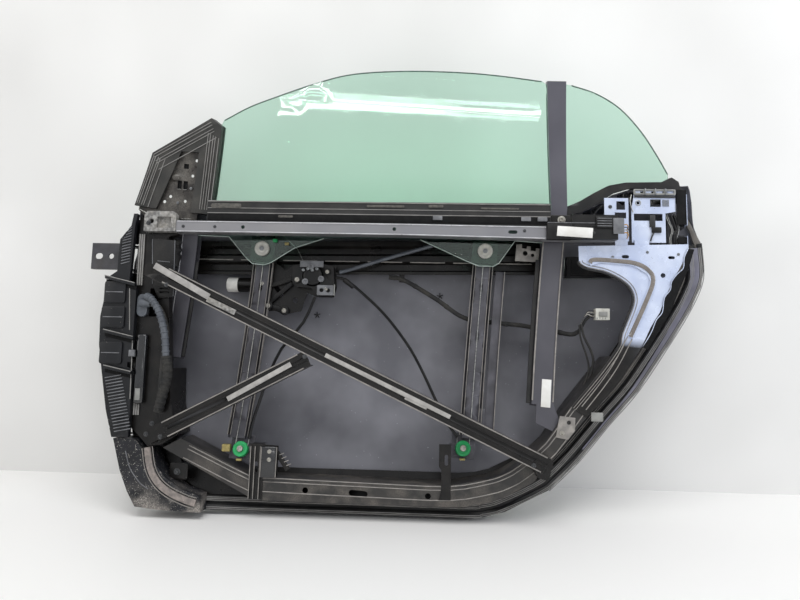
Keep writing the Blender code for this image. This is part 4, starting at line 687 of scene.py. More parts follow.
def dress(piece: Piece, coat: Coat, body: str = "door", *nodes: str) -> Piece:
    """Give a piece its finish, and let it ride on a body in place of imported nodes.

    Args:
        piece: The piece.
        coat: Its finish.
        body: The body that it rides on.
        nodes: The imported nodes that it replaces.

    Returns:
        The same piece.
    """
    piece.data.materials.clear()
    piece.data.materials.append(coat.material)
    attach(piece, body)
    if nodes:
        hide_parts(*nodes)
    log.info("%s: %s, on %s", piece.name, coat.value.name, body)
    return piece


def finished(piece: Piece, coat: Coat | None, body: str, angle: float = 35.0) -> Piece:
    """Settle a piece, and dress it if it has a coat already."""
    settle(piece, angle)
    return dress(piece, coat, body) if coat else piece


def block(name: str, low: Point, high: Point, coat: Coat | None, rounding: float = 0.6, segments: int = 2,
          body: str = "door") -> Piece:
    """Rounded block between two corners.

    Args:
        name: The piece's name.
        low: The corner with the lowest x, y and z.
        high: The opposite corner.
        coat: Its finish, or None where the piece is worked further first.
        rounding: Width of the bevel on its edges.
        segments: Steps across the bevel.
        body: The body that it rides on.

    Returns:
        The new piece, dressed if it has a coat.
    """
    clear_selection()
    start, end = mm(low), mm(high)
    bpy.ops.mesh.primitive_cube_add(size=1.0, location=(start + end) / 2.0)
    piece = bpy.context.object
    piece.name = name
    piece.scale = size = end - start
    bpy.ops.object.transform_apply(location=True, rotation=True, scale=True)
    edit(piece, (bpy.ops.mesh.bevel, {"offset": min(rounding / MM, min(size) * 0.4), "segments": segments,
                                      "affect": "EDGES"}))
    return finished(piece, coat, body)


def wrapped(name: str, low: Point, high: Point, coat: Coat, rounding: float = 0.4,
            body: str = "door") -> None:
    """Block drawn in (along, depth, up) and wrapped onto the glass's cylinder.

    Args:
        name: The piece's name.
        low: Its lowest (along, depth, up).
        high: The opposite corner.
        coat: Its finish.
        rounding: Width of the bevel on its edges.
        body: The body that it rides on.
    """
    piece = block(name, low, high, None, rounding)
    edit(piece, (bpy.ops.mesh.subdivide, {"number_cuts": 3}))
    for vert in piece.data.vertices:
        vert.co = glass_point(*vert.co)
    finished(piece, coat, body)


def turned(name: str, start: Point, axis: Point, profile: Sequence[tuple[float, float]], coat: Coat,
           sides: int = 20, body: str = "door") -> Piece:
    """Stack rings of a profile along an axis, by extruding a disc and resizing its end.

    Args:
        name: The piece's name.
        start: Where the axis starts.
        axis: The axis's direction.
        profile: Radius and distance along the axis of each ring, from the closed start at 0.
        coat: Its finish.
        sides: How many sides the rings have.
        body: The body that it rides on.

    Returns:
        The dressed piece, closed at both ends.
    """
    clear_selection()
    bpy.ops.mesh.primitive_circle_add(vertices=sides, radius=profile[0][0] / MM, fill_type="NGON")
    piece = bpy.context.object
    piece.name = name
    bpy.ops.object.mode_set(mode="EDIT")
    bpy.ops.mesh.select_all(action="SELECT")
    for (radius, height), (wider, higher) in zip(profile, profile[1:]):
        shift = (0.0, 0.0, (higher - height) / MM)
        bpy.ops.mesh.extrude_region_move(TRANSFORM_OT_translate={"value": shift})
        bpy.ops.transform.resize(value=(wider / radius, wider / radius, 1.0))
    bpy.ops.mesh.select_all(action="SELECT")
    bpy.ops.mesh.normals_make_consistent(inside=False)
    bpy.ops.object.mode_set(mode="OBJECT")
    turn = Vector(axis).to_track_quat("Z", "Y").to_matrix().to_4x4()
    piece.matrix_world = Matrix.Translation(mm(start)) @ turn
    return finished(piece, coat, body)


def from_curve(name: str, lines: Iterable[Sequence[Point]], closed: bool, **settings: Any) -> Piece:
    """Make a welded mesh from a curve with straight lines and the given settings.

    Args:
        name: The piece's name.
        lines: The curve's lines, as points in millimetres.
        closed: Whether each line is closed.
        settings: The curve's properties.

    Returns:
        The mesh, with its place still to be settled.
    """
    curve = bpy.data.curves.new(name, "CURVE")
    for key, value in settings.items():
        setattr(curve, key, value)
    for line in lines:
        spline = curve.splines.new("POLY")
        spline.points.add(len(line) - 1)
        for knot, place in zip(spline.points, line):
            knot.co = (*mm(place), 1.0)
        spline.use_cyclic_u = closed
    piece = bpy.data.objects.new(name, curve)
    bpy.context.scene.collection.objects.link(piece)
    pick(piece)
    bpy.ops.object.convert(target="MESH")
    piece = bpy.context.object
    edit(piece, (bpy.ops.mesh.remove_doubles, {"threshold": 1e-6}),
         (bpy.ops.mesh.normals_make_consistent, {"inside": False}))
    return piece


def tube(name: str, path: Iterable[Point], radius: float, coat: Coat | None, steps: int = 0,
         body: str = "door", sides: int = 3) -> Piece:
    """Round tube along a path, with closed ends; the path is smoothed if it has steps.

    Args:
        name: The piece's name.
        path: Points along its middle.
        radius: Its radius.
        coat: Its finish, or None where the piece is worked further first.
        steps: Steps between two points, or 0 for straight runs.
        body: The body that it rides on.
        sides: The curve's bevel resolution.

    Returns:
        The new piece, dressed if it has a coat.
    """
    places = smooth_path(path, steps) if steps else list(path)
    piece = from_curve(name, [places], False, dimensions="3D", bevel_depth=radius / MM,
                       bevel_resolution=sides, use_fill_caps=True)
    return finished(piece, coat, body, 50.0)


def flat_tubes(name: str, lines: Iterable[Iterable[Point]], depth: float, radius: float, coat: Coat) -> None:
    """Add a numbered row of tubes along (x, z) lines at one depth."""
    for number, line in enumerate(lines):
        tube(f"{name}_{number}", at_depth(line, depth), radius, coat)


def plate(name: str, outline: Sequence[Point], front: float, back: float, coat: Coat | None,
          holes: Sequence[Sequence[Point]] = (), rounding: float = 0.4) -> Piece:
    """Flat plate that faces the cabin, from its outline in x and z, with rounded edges.

    Args:
        name: The piece's name.
        outline: Its outline as (x, z) points.
        front: Depth of its cabin side.
        back: Depth of its other side.
        coat: Its finish, or None where the piece is worked further first.
        holes: Outlines of its holes.
        rounding: Width of the bevel on its edges.

    Returns:
        The new piece, dressed if it has a coat.
    """
    rings = [[(x, z, 0.0) for x, z in line] for line in (outline, *holes)]
    half = (back - front) / 2.0 / MM
    piece = from_curve(name, rings, True, dimensions="2D", fill_mode="BOTH", extrude=half)
    piece.rotation_euler = (math.radians(90.0), 0.0, 0.0)
    piece.location = (0.0, (front + back) / 2.0 / MM, 0.0)
    bpy.ops.object.transform_apply(location=True, rotation=True, scale=True)
    edge = piece.modifiers.new("edge", "BEVEL")
    edge.width = rounding / MM
    edge.segments = 2
    edge.limit_method = "ANGLE"
    pick(piece)
    bpy.ops.object.modifier_apply(modifier=edge.name)
    return finished(piece, coat, "door")


def collars(name: str, path: Sequence[Vector], spots: Iterable[int], profile: Sequence[tuple[float, float]],
            coat: Coat, sides: int = 16) -> None:
    """Rings round a smooth path, at the given numbers of its points.

    Args:
        name: The start of the rings' names.
        path: The smooth path.
        spots: Numbers of the points that get a ring.
        profile: Radius and distance of each step.
        coat: Their finish.
        sides: How many sides they have.
    """
    for number in spots:
        way = (path[number + 1] - path[number]).normalized()
        turned(f"{name}_{number:02d}", path[number], way, profile, coat, sides)


def frame_object(node: str) -> Piece:
    """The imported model's object for a node."""
    found = FRAME["nodes"][node]
    return found if isinstance(found, bpy.types.Object) else bpy.data.objects[node]


def merged_copy(node: str, name: str) -> Piece:
    """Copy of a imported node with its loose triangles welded.

    Args:
        node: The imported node.
        name: The copy's name.

    Returns:
        The bare copy.
    """
    piece = bpy.data.objects.new(name, frame_object(node).data.copy())
    bpy.context.scene.collection.objects.link(piece)
    piece.data.materials.clear()
    edit(piece, (bpy.ops.mesh.remove_doubles, {"threshold": 2e-6}),
         (bpy.ops.mesh.dissolve_limited, {"angle_limit": math.radians(0.5)}))
    return piece


def resliced(piece: Piece, flatten: Callable[[Vector], Vector], restore: Callable[[Vector], Vector],
             cuts: Cuts) -> None:
    """Slice a curved piece into small even faces, cut in its flattened state.

    Args:
        piece: The piece, whose mesh is replaced.
        flatten: Takes a point to the flattened state.
        restore: Takes it back.
        cuts: Normal, first place, last place and step of each set of parallel cuts.
    """
    work = bmesh.new()
    work.from_mesh(piece.data)
    for vert in work.verts:
        vert.co = flatten(vert.co)
    bmesh.ops.dissolve_limit(work, angle_limit=math.radians(0.4), verts=work.verts, edges=work.edges)
    for normal, low, high, step in cuts:
        for count in range(int((high - low) / step) + 1):
            bmesh.ops.bisect_plane(work, geom=work.verts[:] + work.edges[:] + work.faces[:], dist=1e-6,
                                   plane_co=normal * (low + step * count), plane_no=normal)
    for vert in work.verts:
        vert.co = restore(vert.co)
    work.to_mesh(piece.data)
    work.free()


@dataclass
class Fastener:
    """A bolt or screw head that faces along an axis: washer, head and a driver recess."""

    name: str
    place: Point
    radius: float
    coat: Coat = Coat.BOLT
    axis: Vector = INBOARD
    body: str = "door"

    def build(self) -> None:
        """Model the washer and the six-sided head."""
        r, place = self.radius, Vector(self.place)
        turned(f"{self.name}_washer", place, self.axis,
               [(r * 0.98, 0.0), (r, 0.3), (r * 0.97, r * 0.16), (r * 0.80, r * 0.18)], self.coat, 20,
               self.body)
        turned(f"{self.name}_head", place + self.axis * r * 0.20, self.axis,
               [(r * 0.70, 0.0), (r * 0.72, r * 0.34), (r * 0.62, r * 0.46), (r * 0.36, r * 0.46),
                (r * 0.32, r * 0.20)], self.coat, 6, self.body)


def fasteners(name: str, places: Iterable[Point], radius: float, coat: Coat = Coat.BOLT) -> None:
    """Add a numbered row of fasteners that face the cabin."""
    for number, place in enumerate(places):
        Fastener(f"{name}_{number}", place, radius, coat).build()


@dataclass
class PackedPieces:
    """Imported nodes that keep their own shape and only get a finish."""

    coats: tuple[tuple[Coat, tuple[str, ...]], ...] = (
        (Coat.DIP_PRIMER, ("hinge_pillar", "outer_belt_reinforcement", "post_front", "post_rear")),
        # The latch plates' bright blue-grey is a painted reflection on black primer.
        (Coat.PAINT_MIST, ("latch_plate", "rear_plate_inner", "rear_plate_outer")),
        (Coat.ANODISED, ("belt_beam",)), (Coat.ZINC_CASTING, ("corner_block",)),
        (Coat.GREY_NYLON, ("carrier_front", "carrier_rear")), (Coat.LATCH_CASE, ("latch_housing",)),
        (Coat.BRIGHT_WIRE, ("latch_claw",)), (Coat.ZINC_PLATE, ("release_lever",)),
        (Coat.BLACK_MOULDING, ("handle_bracket", "control_module")),
        (Coat.WHITE_NYLON, ("harness_connector",)))

    def build(self) -> None:
        """Assign each node's finish."""
        for coat, nodes in self.coats:
            for node in nodes:
                piece = frame_object(node)
                piece.data.materials.clear()
                piece.data.materials.append(coat.material)
                log.info("%s: %s", node, coat.value.name)


@dataclass
class SmoothedPieces:
    """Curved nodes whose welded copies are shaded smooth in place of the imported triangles."""

    sliced: tuple[str, ...] = ("rail_front", "rail_rear", "front_guide", "rear_guide", "sail_seal",
                               "sail_plate", "divider_bar", "quarter_seal")
    coats: tuple[tuple[Coat, str, float, tuple[str, ...]], ...] = (
        (Coat.DIP_PRIMER, "door", 30, ("inner_rim", "regulator_plate", "crash_beam_long", "crash_beam_short")),
        (Coat.EPDM, "door", 30, ("perimeter_seal", "quarter_seal", "inner_belt_seal", "outer_belt_seal")),
        (Coat.DIVIDER, "door", 30, ("divider_bar",)), (Coat.WORN_EPDM, "door", 30, ("sail_seal",)),
        (Coat.RAIL_STEEL, "door", 30, ("rail_front", "rail_rear")),
        (Coat.GUIDE_SHEET, "door", 30, ("front_guide", "rear_guide")),
        (Coat.WORN_STEEL, "door", 30, ("sail_plate",)),
        (Coat.CHANNEL_PRIMER, "door", 30, ("bottom_channel",)),
        (Coat.DUSTY_MOULDING, "door", 30, ("hinge_side_cover",)),
        (Coat.BLACK_MOULDING, "door", 30, ("drum_housing",)),
        (Coat.CORNER_DUST, "door", 30, ("lower_corner_cover",)),
        (Coat.BODY_PAINT, "handle", 35, ("outer_handle",)),
        (Coat.GREEN_ACETAL, "front_pulley", 40, ("pulley_front",)),
        (Coat.GREEN_ACETAL, "rear_pulley", 40, ("pulley_rear",)),
        (Coat.BRIGHT_WIRE, "door", 50, ("cable_front", "cable_rear")),
        (Coat.BLACK_MOULDING, "door", 50, ("conduit_front", "conduit_lower", "conduit_upper")),
        (Coat.CLOTH_TAPE, "door", 50, ("door_harness",)),
        (Coat.HOSE_RUBBER, "door", 50, ("harness_grommet",)),
        (Coat.BLACK_MOULDING, "drum", 40, ("cable_drum",)),
        (Coat.WHITE_NYLON, "window", 40, ("fixing_disc_front", "fixing_disc_rear")),
        (Coat.DIP_PRIMER, "door", 40, ("window_motor",)),
        (Coat.PHOSPHATE, "door", 35, ("hinge_half_upper", "hinge_half_lower")),
        (Coat.PHOSPHATE, "upper_leaf", 35, ("hinge_leaf_upper",)),
        (Coat.PHOSPHATE, "lower_leaf", 35, ("hinge_leaf_lower",)),
        (Coat.BRIGHT_WIRE, "lock", 35, ("lock_cylinder",)))

    def build(self) -> None:
        """Weld, smooth and dress each copy."""
        for coat, body, angle, nodes in self.coats:
            for node in nodes:
                piece = merged_copy(node, f"{node}_smooth")
                if node in self.sliced:
                    resliced(piece, unrolled, lambda co: glass_point(*co), GLASS_CUTS[1:])
                dress(settle(piece, angle), coat, body, node)


@dataclass
class Windows:
    """The sliding glass and the fixed quarter glass."""

    glass: TintedGlass = TintedGlass()

    def build(self) -> None:
        """Smooth both panes and give them the green glass."""
        material = self.glass.build()
        for node, body in (("main_glass", "window"), ("quarter_glass", "door")):
            pane = merged_copy(node, f"{node}_pane")
            resliced(pane, unrolled, lambda co: glass_point(*co), GLASS_CUTS)
            settle(pane, 30.0)
            pane.data.materials.append(material)
            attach(pane, body)
            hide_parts(node)
            log.info("%s: %s", pane.name, self.glass.name)


@dataclass
class OuterSkin:
    """The outer skin, sliced finely and laid back on its crowned surface, in metres."""

    step: float = 0.024
    seated: float = 0.0006

    def build(self) -> None:
        """Flatten a copy, slice it to small faces, crown it again and dress both sides."""
        skin = merged_copy("outer_skin", "outer_skin_panel")
        resliced(skin, lambda co: Vector((co.x, co.y - skin_depth(co.x, co.z), co.z)),
                 lambda co: Vector((co.x, co.y + skin_depth(co.x, co.z), co.z)),
                 ((Vector((1, 0, 0)), 0.02, 1.29, self.step), (Vector((0, 0, 1)), -0.53, 0.17, self.step)))
        settle(skin, 28.0)
        dress(skin, Coat.INNER_SKIN, "door", "outer_skin")
        skin.data.materials.append(Coat.BODY_PAINT.material)
        for face in skin.data.polygons:
            outside = face.center.y - skin_depth(face.center.x, face.center.z) > -self.seated
            face.material_index = int(face.normal.y > 0.5 or outside)


@dataclass
class OutsideTrim:
    """Plain details of the painted side: the handle's bezel and the key ring."""

    def build(self) -> None:
        """Add the outside's pieces, seated on the crowned panel."""
        rim = [(994, -16), (1146, -16), (1146, 29), (994, 29), (994, -16)]
        tube("handle_bezel", skin_line(rim, -0.7), 1.2, Coat.BLACK_EDGE)
        turned("key_ring", skin_line([(1168, 12)], -1.2)[0], -INBOARD,
               [(12, 0), (12.4, 0.8), (11.6, 1.4), (9.8, 1.4), (9.4, 0.4)], Coat.BLACK_EDGE, 32)


@dataclass
class CrashBeamTrim:
    """Rolled lips with painted highlights, felt strips and rub marks of the two crash beams."""

    face: float = -34.0
    half_width: float = 15.2
    beams: tuple[tuple[str, tuple[Point, Point]], ...] = (
        ("long", ((150, -44.6), (925, -405.3))), ("short", ((168, -357.4), (438, -215.2))))
    # Name, ends, width, lowest and highest point off the face, and finish.
    strips: tuple[tuple[Any, ...], ...] = (
        ("felt_strip_0", (126, -24), (244, -88), 13, 0.8, 2.6, Coat.FELT),
        ("felt_strip_1", (293, -294), (419, -221), 10, 0.8, 2.6, Coat.FELT),
        ("felt_strip_2", (488, -201), (741, -318), 8.5, 0.8, 2.6, Coat.FELT),
        ("rough_patch", (240, -92), (300, -119), 11, 0.8, 2.2, Coat.ZINC_CASTING),
        ("paint_stripe", (650, -283), (694, -303), 4, 0.9, 1.6, Coat.FELT))

    def build(self) -> None:
        """Add the lips and the creases, the felts, the dark patch and the pale stripe, and the bolts."""
        for name, line in self.beams:
            # The lips are pale tubes: painted highlights along the beams' edges.
            for kind, share, rise, radius, coat in (("lip", 1.0, 0.6, 1.3, Coat.RUBBED_EDGE),
                                                    ("crease", 0.28, 0.2, 0.78, Coat.DIP_PRIMER)):
                for end, side in (("low", -share), ("top", share)):
                    path = at_depth(inset_path(line, side * self.half_width), self.face - rise)
                    tube(f"crash_beam_{name}_{kind}_{end}", path, radius, coat)
        for name, start, end, width, low, high, coat in self.strips:
            middle = ((start[0] + end[0]) / 2, (start[1] + end[1]) / 2)
            outline = ribbon([start, middle, end], width)
            plate(name, outline, self.face - high, self.face - low, coat, rounding=0.5)
        spots = at_depth(((153, -64), (905, -407), (160, -372), (446, -205)), self.face - 0.3)
        fasteners("beam_bolt", spots, 4.8, Coat.DARK_SCREW)


@dataclass
class RimTrim:
    """Fine beads of the perimeter seal and the pressed lines of the rim and the channel, drawn as pale tubes of
    painted highlight.
    """

    path: tuple[Point, ...] = (
        (120, -520), (150, -527), (432, -531), (768, -532), (815, -528), (860, -516), (952, -471), (1016, -412),
        (1084, -334), (1148, -262), (1221, -154), (1262, -85), (1284, -35), (1289, 0), (1285, 50))
    channel: tuple[Point, ...] = (
        (206, -391.5), (337, -450), (364, -452), (602, -457), (742, -458), (818, -444), (850, -433), (880, -415),
        (935, -368), (990, -290), (1064, -197.5))
    seal_rise: float = -27.5
    rim_rise: float = -13.9

    def band(self, name: str, start: float, outer: float, taper: float, full: float, rise: float,
             coat: Coat) -> None:
        """Add a thin curved band along the rear of the rim, between two insets that part upwards.

        Args:
            name: Name of the piece.
            start: Share of the path at which the band starts.
            outer: Inset of its outer edge.
            taper: Inset of its inner edge at its start.
            full: Inset of its inner edge at its end.
            rise: Height on the skin.
            coat: Finish.
        """
        smooth = smooth_path(self.path, 4)
        smooth = smooth[int(len(smooth) * start):]
        edge, narrow, wide = (inset_path(smooth, depth) for depth in (outer, taper, full))
        last = len(smooth) - 1
        inner = [(a[0] + (b[0] - a[0]) * ease(k / last), a[1] + (b[1] - a[1]) * ease(k / last))
                 for k, (a, b) in enumerate(zip(narrow, wide))]
        piece = plate(name, edge + inner[::-1], -0.7, 0.3, None, rounding=0.2)
        for vert in piece.data.vertices:
            vert.co.y += skin_depth(vert.co.x, vert.co.z) + rise / MM
        dress(piece, coat)

    def build(self) -> None:
        """Add every bead, crease and band, and the channel's lips."""
        seal, rim = self.seal_rise, self.rim_rise
        # The seal's beads, the rim's creases and the shut lines are pale tubes: painted highlights.
        for name, insets, skipped, rise, radius, coat in (
                ("seal_bead", (5.5, 8.5, 21.5, 24.5, 27.5), 0, seal, 1.0, Coat.EPDM_EDGE),
                ("rim_crease", (34.5, 38, 56, 69), 5, rim, 0.9, Coat.RUBBED_EDGE),
                ("shut_line", (1, 4.5, 8), 6, seal, 0.9, Coat.EPDM_EDGE)):
            for number, depth in enumerate(insets):
                line = smooth_path(inset_path(self.path, depth)[skipped:], 4)
                tube(f"{name}_{number}", skin_line(line, rise), radius, coat)
        self.band("shut_flange", 0.52, 10.5, 13.5, 30.5, seal, Coat.SHUT_FLANGE)
        self.band("rim_film", 0.60, 34.5, 40, 50, rim, Coat.RIM_FILM)
        # The channel's lips are pale tubes: painted highlights.
        lips = [smooth_path(inset_path(self.channel, -depth), 3) for depth in (1.6, 9, 29)]
        flat_tubes("channel_lip", lips, 4.6, 1.1, Coat.RUBBED_EDGE)


@dataclass
class BeltLine:
    """Control module, label, lips, bolts and brackets along the belt beam."""

    beam_front: float = -14.0
    module_front: float = -26.3

    def seal_details(self) -> None:
        """Add the near-black strip of painted shade in the channel, the lips with painted highlights, the dust
        and the clips of the inner belt seal.
        """
        # Near-black strip in the seal's channel: painted shade.
        block("belt_seal_shade_strip", (220, -5.6, 80), (944, -4.3, 95), Coat.SEAM_RUBBER, 0.4)
        # The lips are pale tubes: painted highlights.
        for name, z, radius in (("low", 96.5, 1.0), ("mid", 107.5, 0.8), ("top", 122.2, 1.3)):
            path = at_depth(((219, z), (632, z), (945, z)), -4.5)
            tube(f"belt_seal_lip_{name}", path, radius, Coat.EPDM_EDGE)
        for number, (left, right, z, width) in enumerate(((226, 292, 112, 10), (372, 404, 90, 5),
                                                          (560, 640, 114.5, 5), (690, 722, 116, 6),
                                                          (800, 880, 112.5, 4))):
            outline = rounded(left, z - width / 2, right, z + width / 2, width * 0.45)
            plate(f"belt_dust_{number}", outline, -6.1, -5.8, Coat.DUST_FILM, rounding=0.08)
        for number, x in enumerate((700, 884, 918)):
            block(f"belt_clip_{number}", (x, -8.5, 86), (x + 20, -5.9, 95), Coat.BLACK_EDGE, 0.8)

    def module(self) -> None:
        """Add the control module's tongue, label, lid, plug and wires."""
        front, back = self.module_front, self.beam_front - 0.3
        block("module_tongue", (934, front, 44.5), (983.8, back, 80), Coat.BLACK_MOULDING, 1.4)
        sticker = [(953, 52), (1025, 48), (1026.8, 69), (955, 72.5)]
        plate("module_label", sticker, front - 0.8, front - 0.3, Coat.PAPER, rounding=0.15)
        # The tongue's edge and the lid's ribs are in the moulding's painted highlight grey.
        tube("module_tongue_edge", at_depth(((935, 79.5), (1031, 79.5)), front - 0.3), 0.8, Coat.BLACK_EDGE)
        block("module_lid", (1032, front - 3.4, 69), (1066, front - 0.3, 93), Coat.BLACK_MOULDING, 1.2)
        ribs = [((1034.5, z), (1063.5, z)) for z in (73, 78.2, 83.4, 88.6)]
        flat_tubes("module_rib", ribs, front - 3.6, 0.9, Coat.BLACK_EDGE)
        turned("module_plug", (1028.5, front - 0.3, 59), INBOARD, [(3, 0), (3, 0.8), (2.4, 1.1)],
               Coat.WIRE_DARK, 16)
        block("module_socket", (1066.5, -30, 57), (1088.5, -28.5, 90), Coat.BLACK_EDGE)
        for number, coat in enumerate((Coat.WIRE_AMBER, Coat.WIRE_PALE, Coat.WIRE_DARK, Coat.WIRE_AMBER)):
            z = 61 + 5.6 * number
            path = [(1089.5, -21, z), (1096, -21.5, z + 0.4), (1101, -15, z - 3), (1103, 0, z - 7)]
            tube(f"module_wire_{number}", path, 1.0, coat, 4)

    def build(self) -> None:
        """Add the belt line's pieces."""
        self.seal_details()
        front = self.beam_front
        # The beam's lips are pale tubes: painted highlights along its edges.
        for name, height, drops in (("top", 74.8, (0, 0.8, 2.7, 3.6)), ("low", 53.7, (0, 0.8, 5.0, 5.8))):
            path = [(x, front - 0.5, height - drop) for x, drop in zip((159, 632, 944, 982), drops)]
            tube(f"belt_beam_lip_{name}", path, 1.1, Coat.BEAM_EDGE)
        self.module()
        plate("bolt_bracket", rounded(948, 79.5, 991.5, 103, 3), 5.2, 7.0, Coat.DIP_PRIMER)
        Fastener("belt_bolt", (970, 5, 92.5), 8.5).build()
        fasteners("beam_screw", [(x, front - 0.3, 64) for x in (172, 240, 890)], 3.4, Coat.DARK_SCREW)
        # The stay bracket and the reinforcement's beads are drawn in the pale grey of painted highlight.
        outline = [(880, 12), (930, 10), (933, 40), (925.5, 40.5), (924.5, 34), (914, 35), (914, 44), (906, 45),
                   (905, 39), (895, 40), (895, 49), (883, 48)]
        plate("stay_bracket", outline, 50, 52, Coat.RUBBED_EDGE, [ring(902, 29, 5.2), ring(918, 25, 3.6)])
        block("stay_arm", (886, 52.3, 14), (896, 87.7, 22), Coat.DIP_PRIMER)
        for number in range(8):
            x = 172 + 96 * number
            block(f"reinforcement_bead_{number}", (x, 86.4, 10), (x + 78, 87.7, 12.5), Coat.RUBBED_EDGE)


@dataclass
class LatchCorner:
    """Rolled bead, scalloped seam with its painted shadow, clips, latch wires and trim at the latch corner."""

    plate_front: float = 2.0
    rear_front: float = 8.0
    bead: tuple[Point, ...] = ((1026, 1.5), (1034, 8), (1072, 6.8), (1118, 2), (1145, -12), (1154.5, -33),
                               (1140, -75), (1106, -150))
    seam_left: tuple[Point, ...] = ((1227, 35), (1218, 15), (1216, -6), (1203, -19), (1191, -36), (1188.5, -52),
                                    (1176, -69), (1171.5, -98), (1159, -114), (1150.5, -135), (1142, -151),
                                    (1130, -170))
    seam_right: tuple[Point, ...] = ((1142, -176), (1162, -140), (1189, -96), (1208, -50), (1226, -10),
                                     (1240, 33))

    def build(self) -> None:
        """Add the corner's pieces."""
        face = self.plate_front
        line = smooth_path(self.bead, 4)
        plate("latch_bead_crest", ribbon(line, 8.5), face - 4.3, face - 3.3, Coat.BEAD_CREST)
        # The bead's edges carry the plates' painted reflection.
        for end, side in (("out", -5.2), ("in", 5.2)):
            path = at_depth(inset_path(line, side), face - 2.4)
            tube(f"latch_bead_edge_{end}", path, 1.1, Coat.PAINT_MIST)
        left = smooth_path(self.seam_left, 3)
        # Near-black sheet along the plate's scalloped edge: painted shadow over the seam; its pale edge carries
        # the plates' painted reflection.
        plate("scalloped_seam_shadow", [*left, *self.seam_right], face - 2.0, face - 0.3, Coat.SEAM_RUBBER)
        tube("seam_reflection_edge", [(x + 0.6, face - 2.4, z) for x, z in left], 0.8, Coat.PAINT_MIST)
        self.clips()
        self.latch_rods()
        corner = [(1229, 170), (1236, 160), (1260, 108), (1286, 56), (1288, 45), (1272, 45), (1260, 86),
                  (1244, 120), (1234, 148)]
        plate("corner_fin", corner, 66, 74, Coat.RIM_FILM, rounding=1.5)
        self.tail_plate()
        spots = at_depth(((1074, 15), (1208, 22.5), (1145, 26)), face - 0.3)
        fasteners("plate_rivet", spots, 3.0, Coat.ZINC_PLATE)

    def clips(self) -> None:
        """Add the small parts on the rear plate: ring, knurl, clip strip, spring and screw."""
        rear = self.rear_front
        plate("rear_ring", ring(1130, 132, 6.2), rear - 1.0, rear - 0.3, Coat.BRIGHT_WIRE,
              [ring(1130, 132, 4.4)], 0.3)
        knurl = [((x, 125), (x, 139)) for x in (1181, 1183.8, 1186.6, 1189.4, 1192.2)]
        flat_tubes("rear_knurl", knurl, rear - 1.0, 0.9, Coat.ZINC_PLATE)
        gaps = [rounded(x, 152.5, x + 16.5, 158, 1) for x in (1124, 1145, 1166, 1187)]
        plate("clip_strip", rounded(1120, 149, 1207, 161, 2), rear - 3.4, rear - 0.4, Coat.CLIP_GREY, gaps)
        for number, x in enumerate((1142.5, 1163.5, 1184.5)):
            block(f"clip_tooth_{number}", (x, rear - 6.2, 148), (x + 2.6, rear - 3.6, 162), Coat.ZINC_PLATE)
        block("clip_shadow_rail", (1122, rear - 2.6, 143), (1206, rear - 0.3, 148), Coat.WIRE_DARK)
        tube("plate_spring", [(1115, 4, 148), (1112, 3, 134), (1114.5, 3, 120), (1118, 4, 111)], 1.1,
             Coat.BRIGHT_WIRE, 5)
        Fastener("rear_screw", (1072, rear - 0.3, 123), 4.0, Coat.DARK_SCREW).build()

    def latch_rods(self) -> None:
        """Thin bright rods and dark leads that run down past the latch."""
        for name, top, foot, depth, radius, coat in (
                ("a", 1190, 1195.5, 10, 0.9, Coat.BRIGHT_WIRE),
                ("b", 1194.5, 1199, 12.5, 0.8, Coat.BRIGHT_WIRE),
                ("c", 1202, 1205, 10.5, 1.2, Coat.WIRE_DARK), ("d", 1207.5, 1208, 9, 1.6, Coat.WIRE_DARK),
                ("e", 1212.5, 1211, 12, 0.8, Coat.BRIGHT_WIRE)):
            path = [(top - 3, depth + 2, 110), (top + 1, depth, 95), (foot + 3, depth - 1, 75),
                    (foot - 1, depth, 58), (foot, depth + 1, 44)]
            tube(f"latch_rod_{name}", path, radius, coat, 5)
        block("latch_buffer", (1152, 4, 80), (1164, 7.6, 106), Coat.WIRE_DARK, 1.2)
        block("latch_switch", (1156, 3, 68), (1176, 7.6, 80), Coat.BLACK_MOULDING, 1.5)
        tube("latch_lead", [(1160, 5, 68), (1156, 4, 60), (1153, 5, 50)], 1.7, Coat.WIRE_DARK, 4)

    def tail_plate(self) -> None:
        """Dark foot of the latch plate, its bead, and the rubber and folds along the opening."""
        face = self.plate_front
        outline = [(1087, -169), (1127.5, -174.5), (1102, -215), (1056, -276), (1016, -314), (990, -296),
                   (1036, -240), (1066, -200)]
        plate("latch_plate_foot", outline, face - 0.2, face + 2.6, Coat.DIP_PRIMER, [ring(1064, -230, 4.2)])
        line = smooth_path([(1106, -152), (1078, -206), (1048, -250), (1012, -296)], 4)
        # The foot bead's pale edges are painted highlights.
        for end, side in (("out", -5.2), ("in", 5.2)):
            tube(f"foot_bead_{end}", at_depth(inset_path(line, side), face - 0.8), 1.0, Coat.RUBBED_EDGE)
        edge = smooth_path(((1005, 5), (1008, -1.5), (1023, -9), (1054, -15), (1082, -27), (1106, -45),
                            (1116, -68), (1112, -92), (1091, -144), (1086, -169), (1066, -200), (1036, -240),
                            (990, -296)), 4)
        # The pale fold and crease along the opening are painted highlights.
        for name, shift, radius, coat in (("rubber", -3.0, 2.4, Coat.EPDM),
                                          ("fold", 1.2, 0.9, Coat.RUBBED_EDGE),
                                          ("crease", 6.2, 0.7, Coat.RUBBED_EDGE)):
            tube(f"opening_{name}", at_depth(inset_path(edge, shift), face - 1.0), radius, coat)
        for name, foot, top in (("low", 46, 60), ("high", 86, 160)):
            outline = rounded(1208.5, foot, 1228.5, top, 2)
            plate(f"shut_edge_cover_{name}", outline, 4.2, 6.2, Coat.SEAM_RUBBER)
        block("rim_foot_clip", (1026, -1.2, -322), (1050, 1.6, -304), Coat.CLIP_GREY, 1.0)


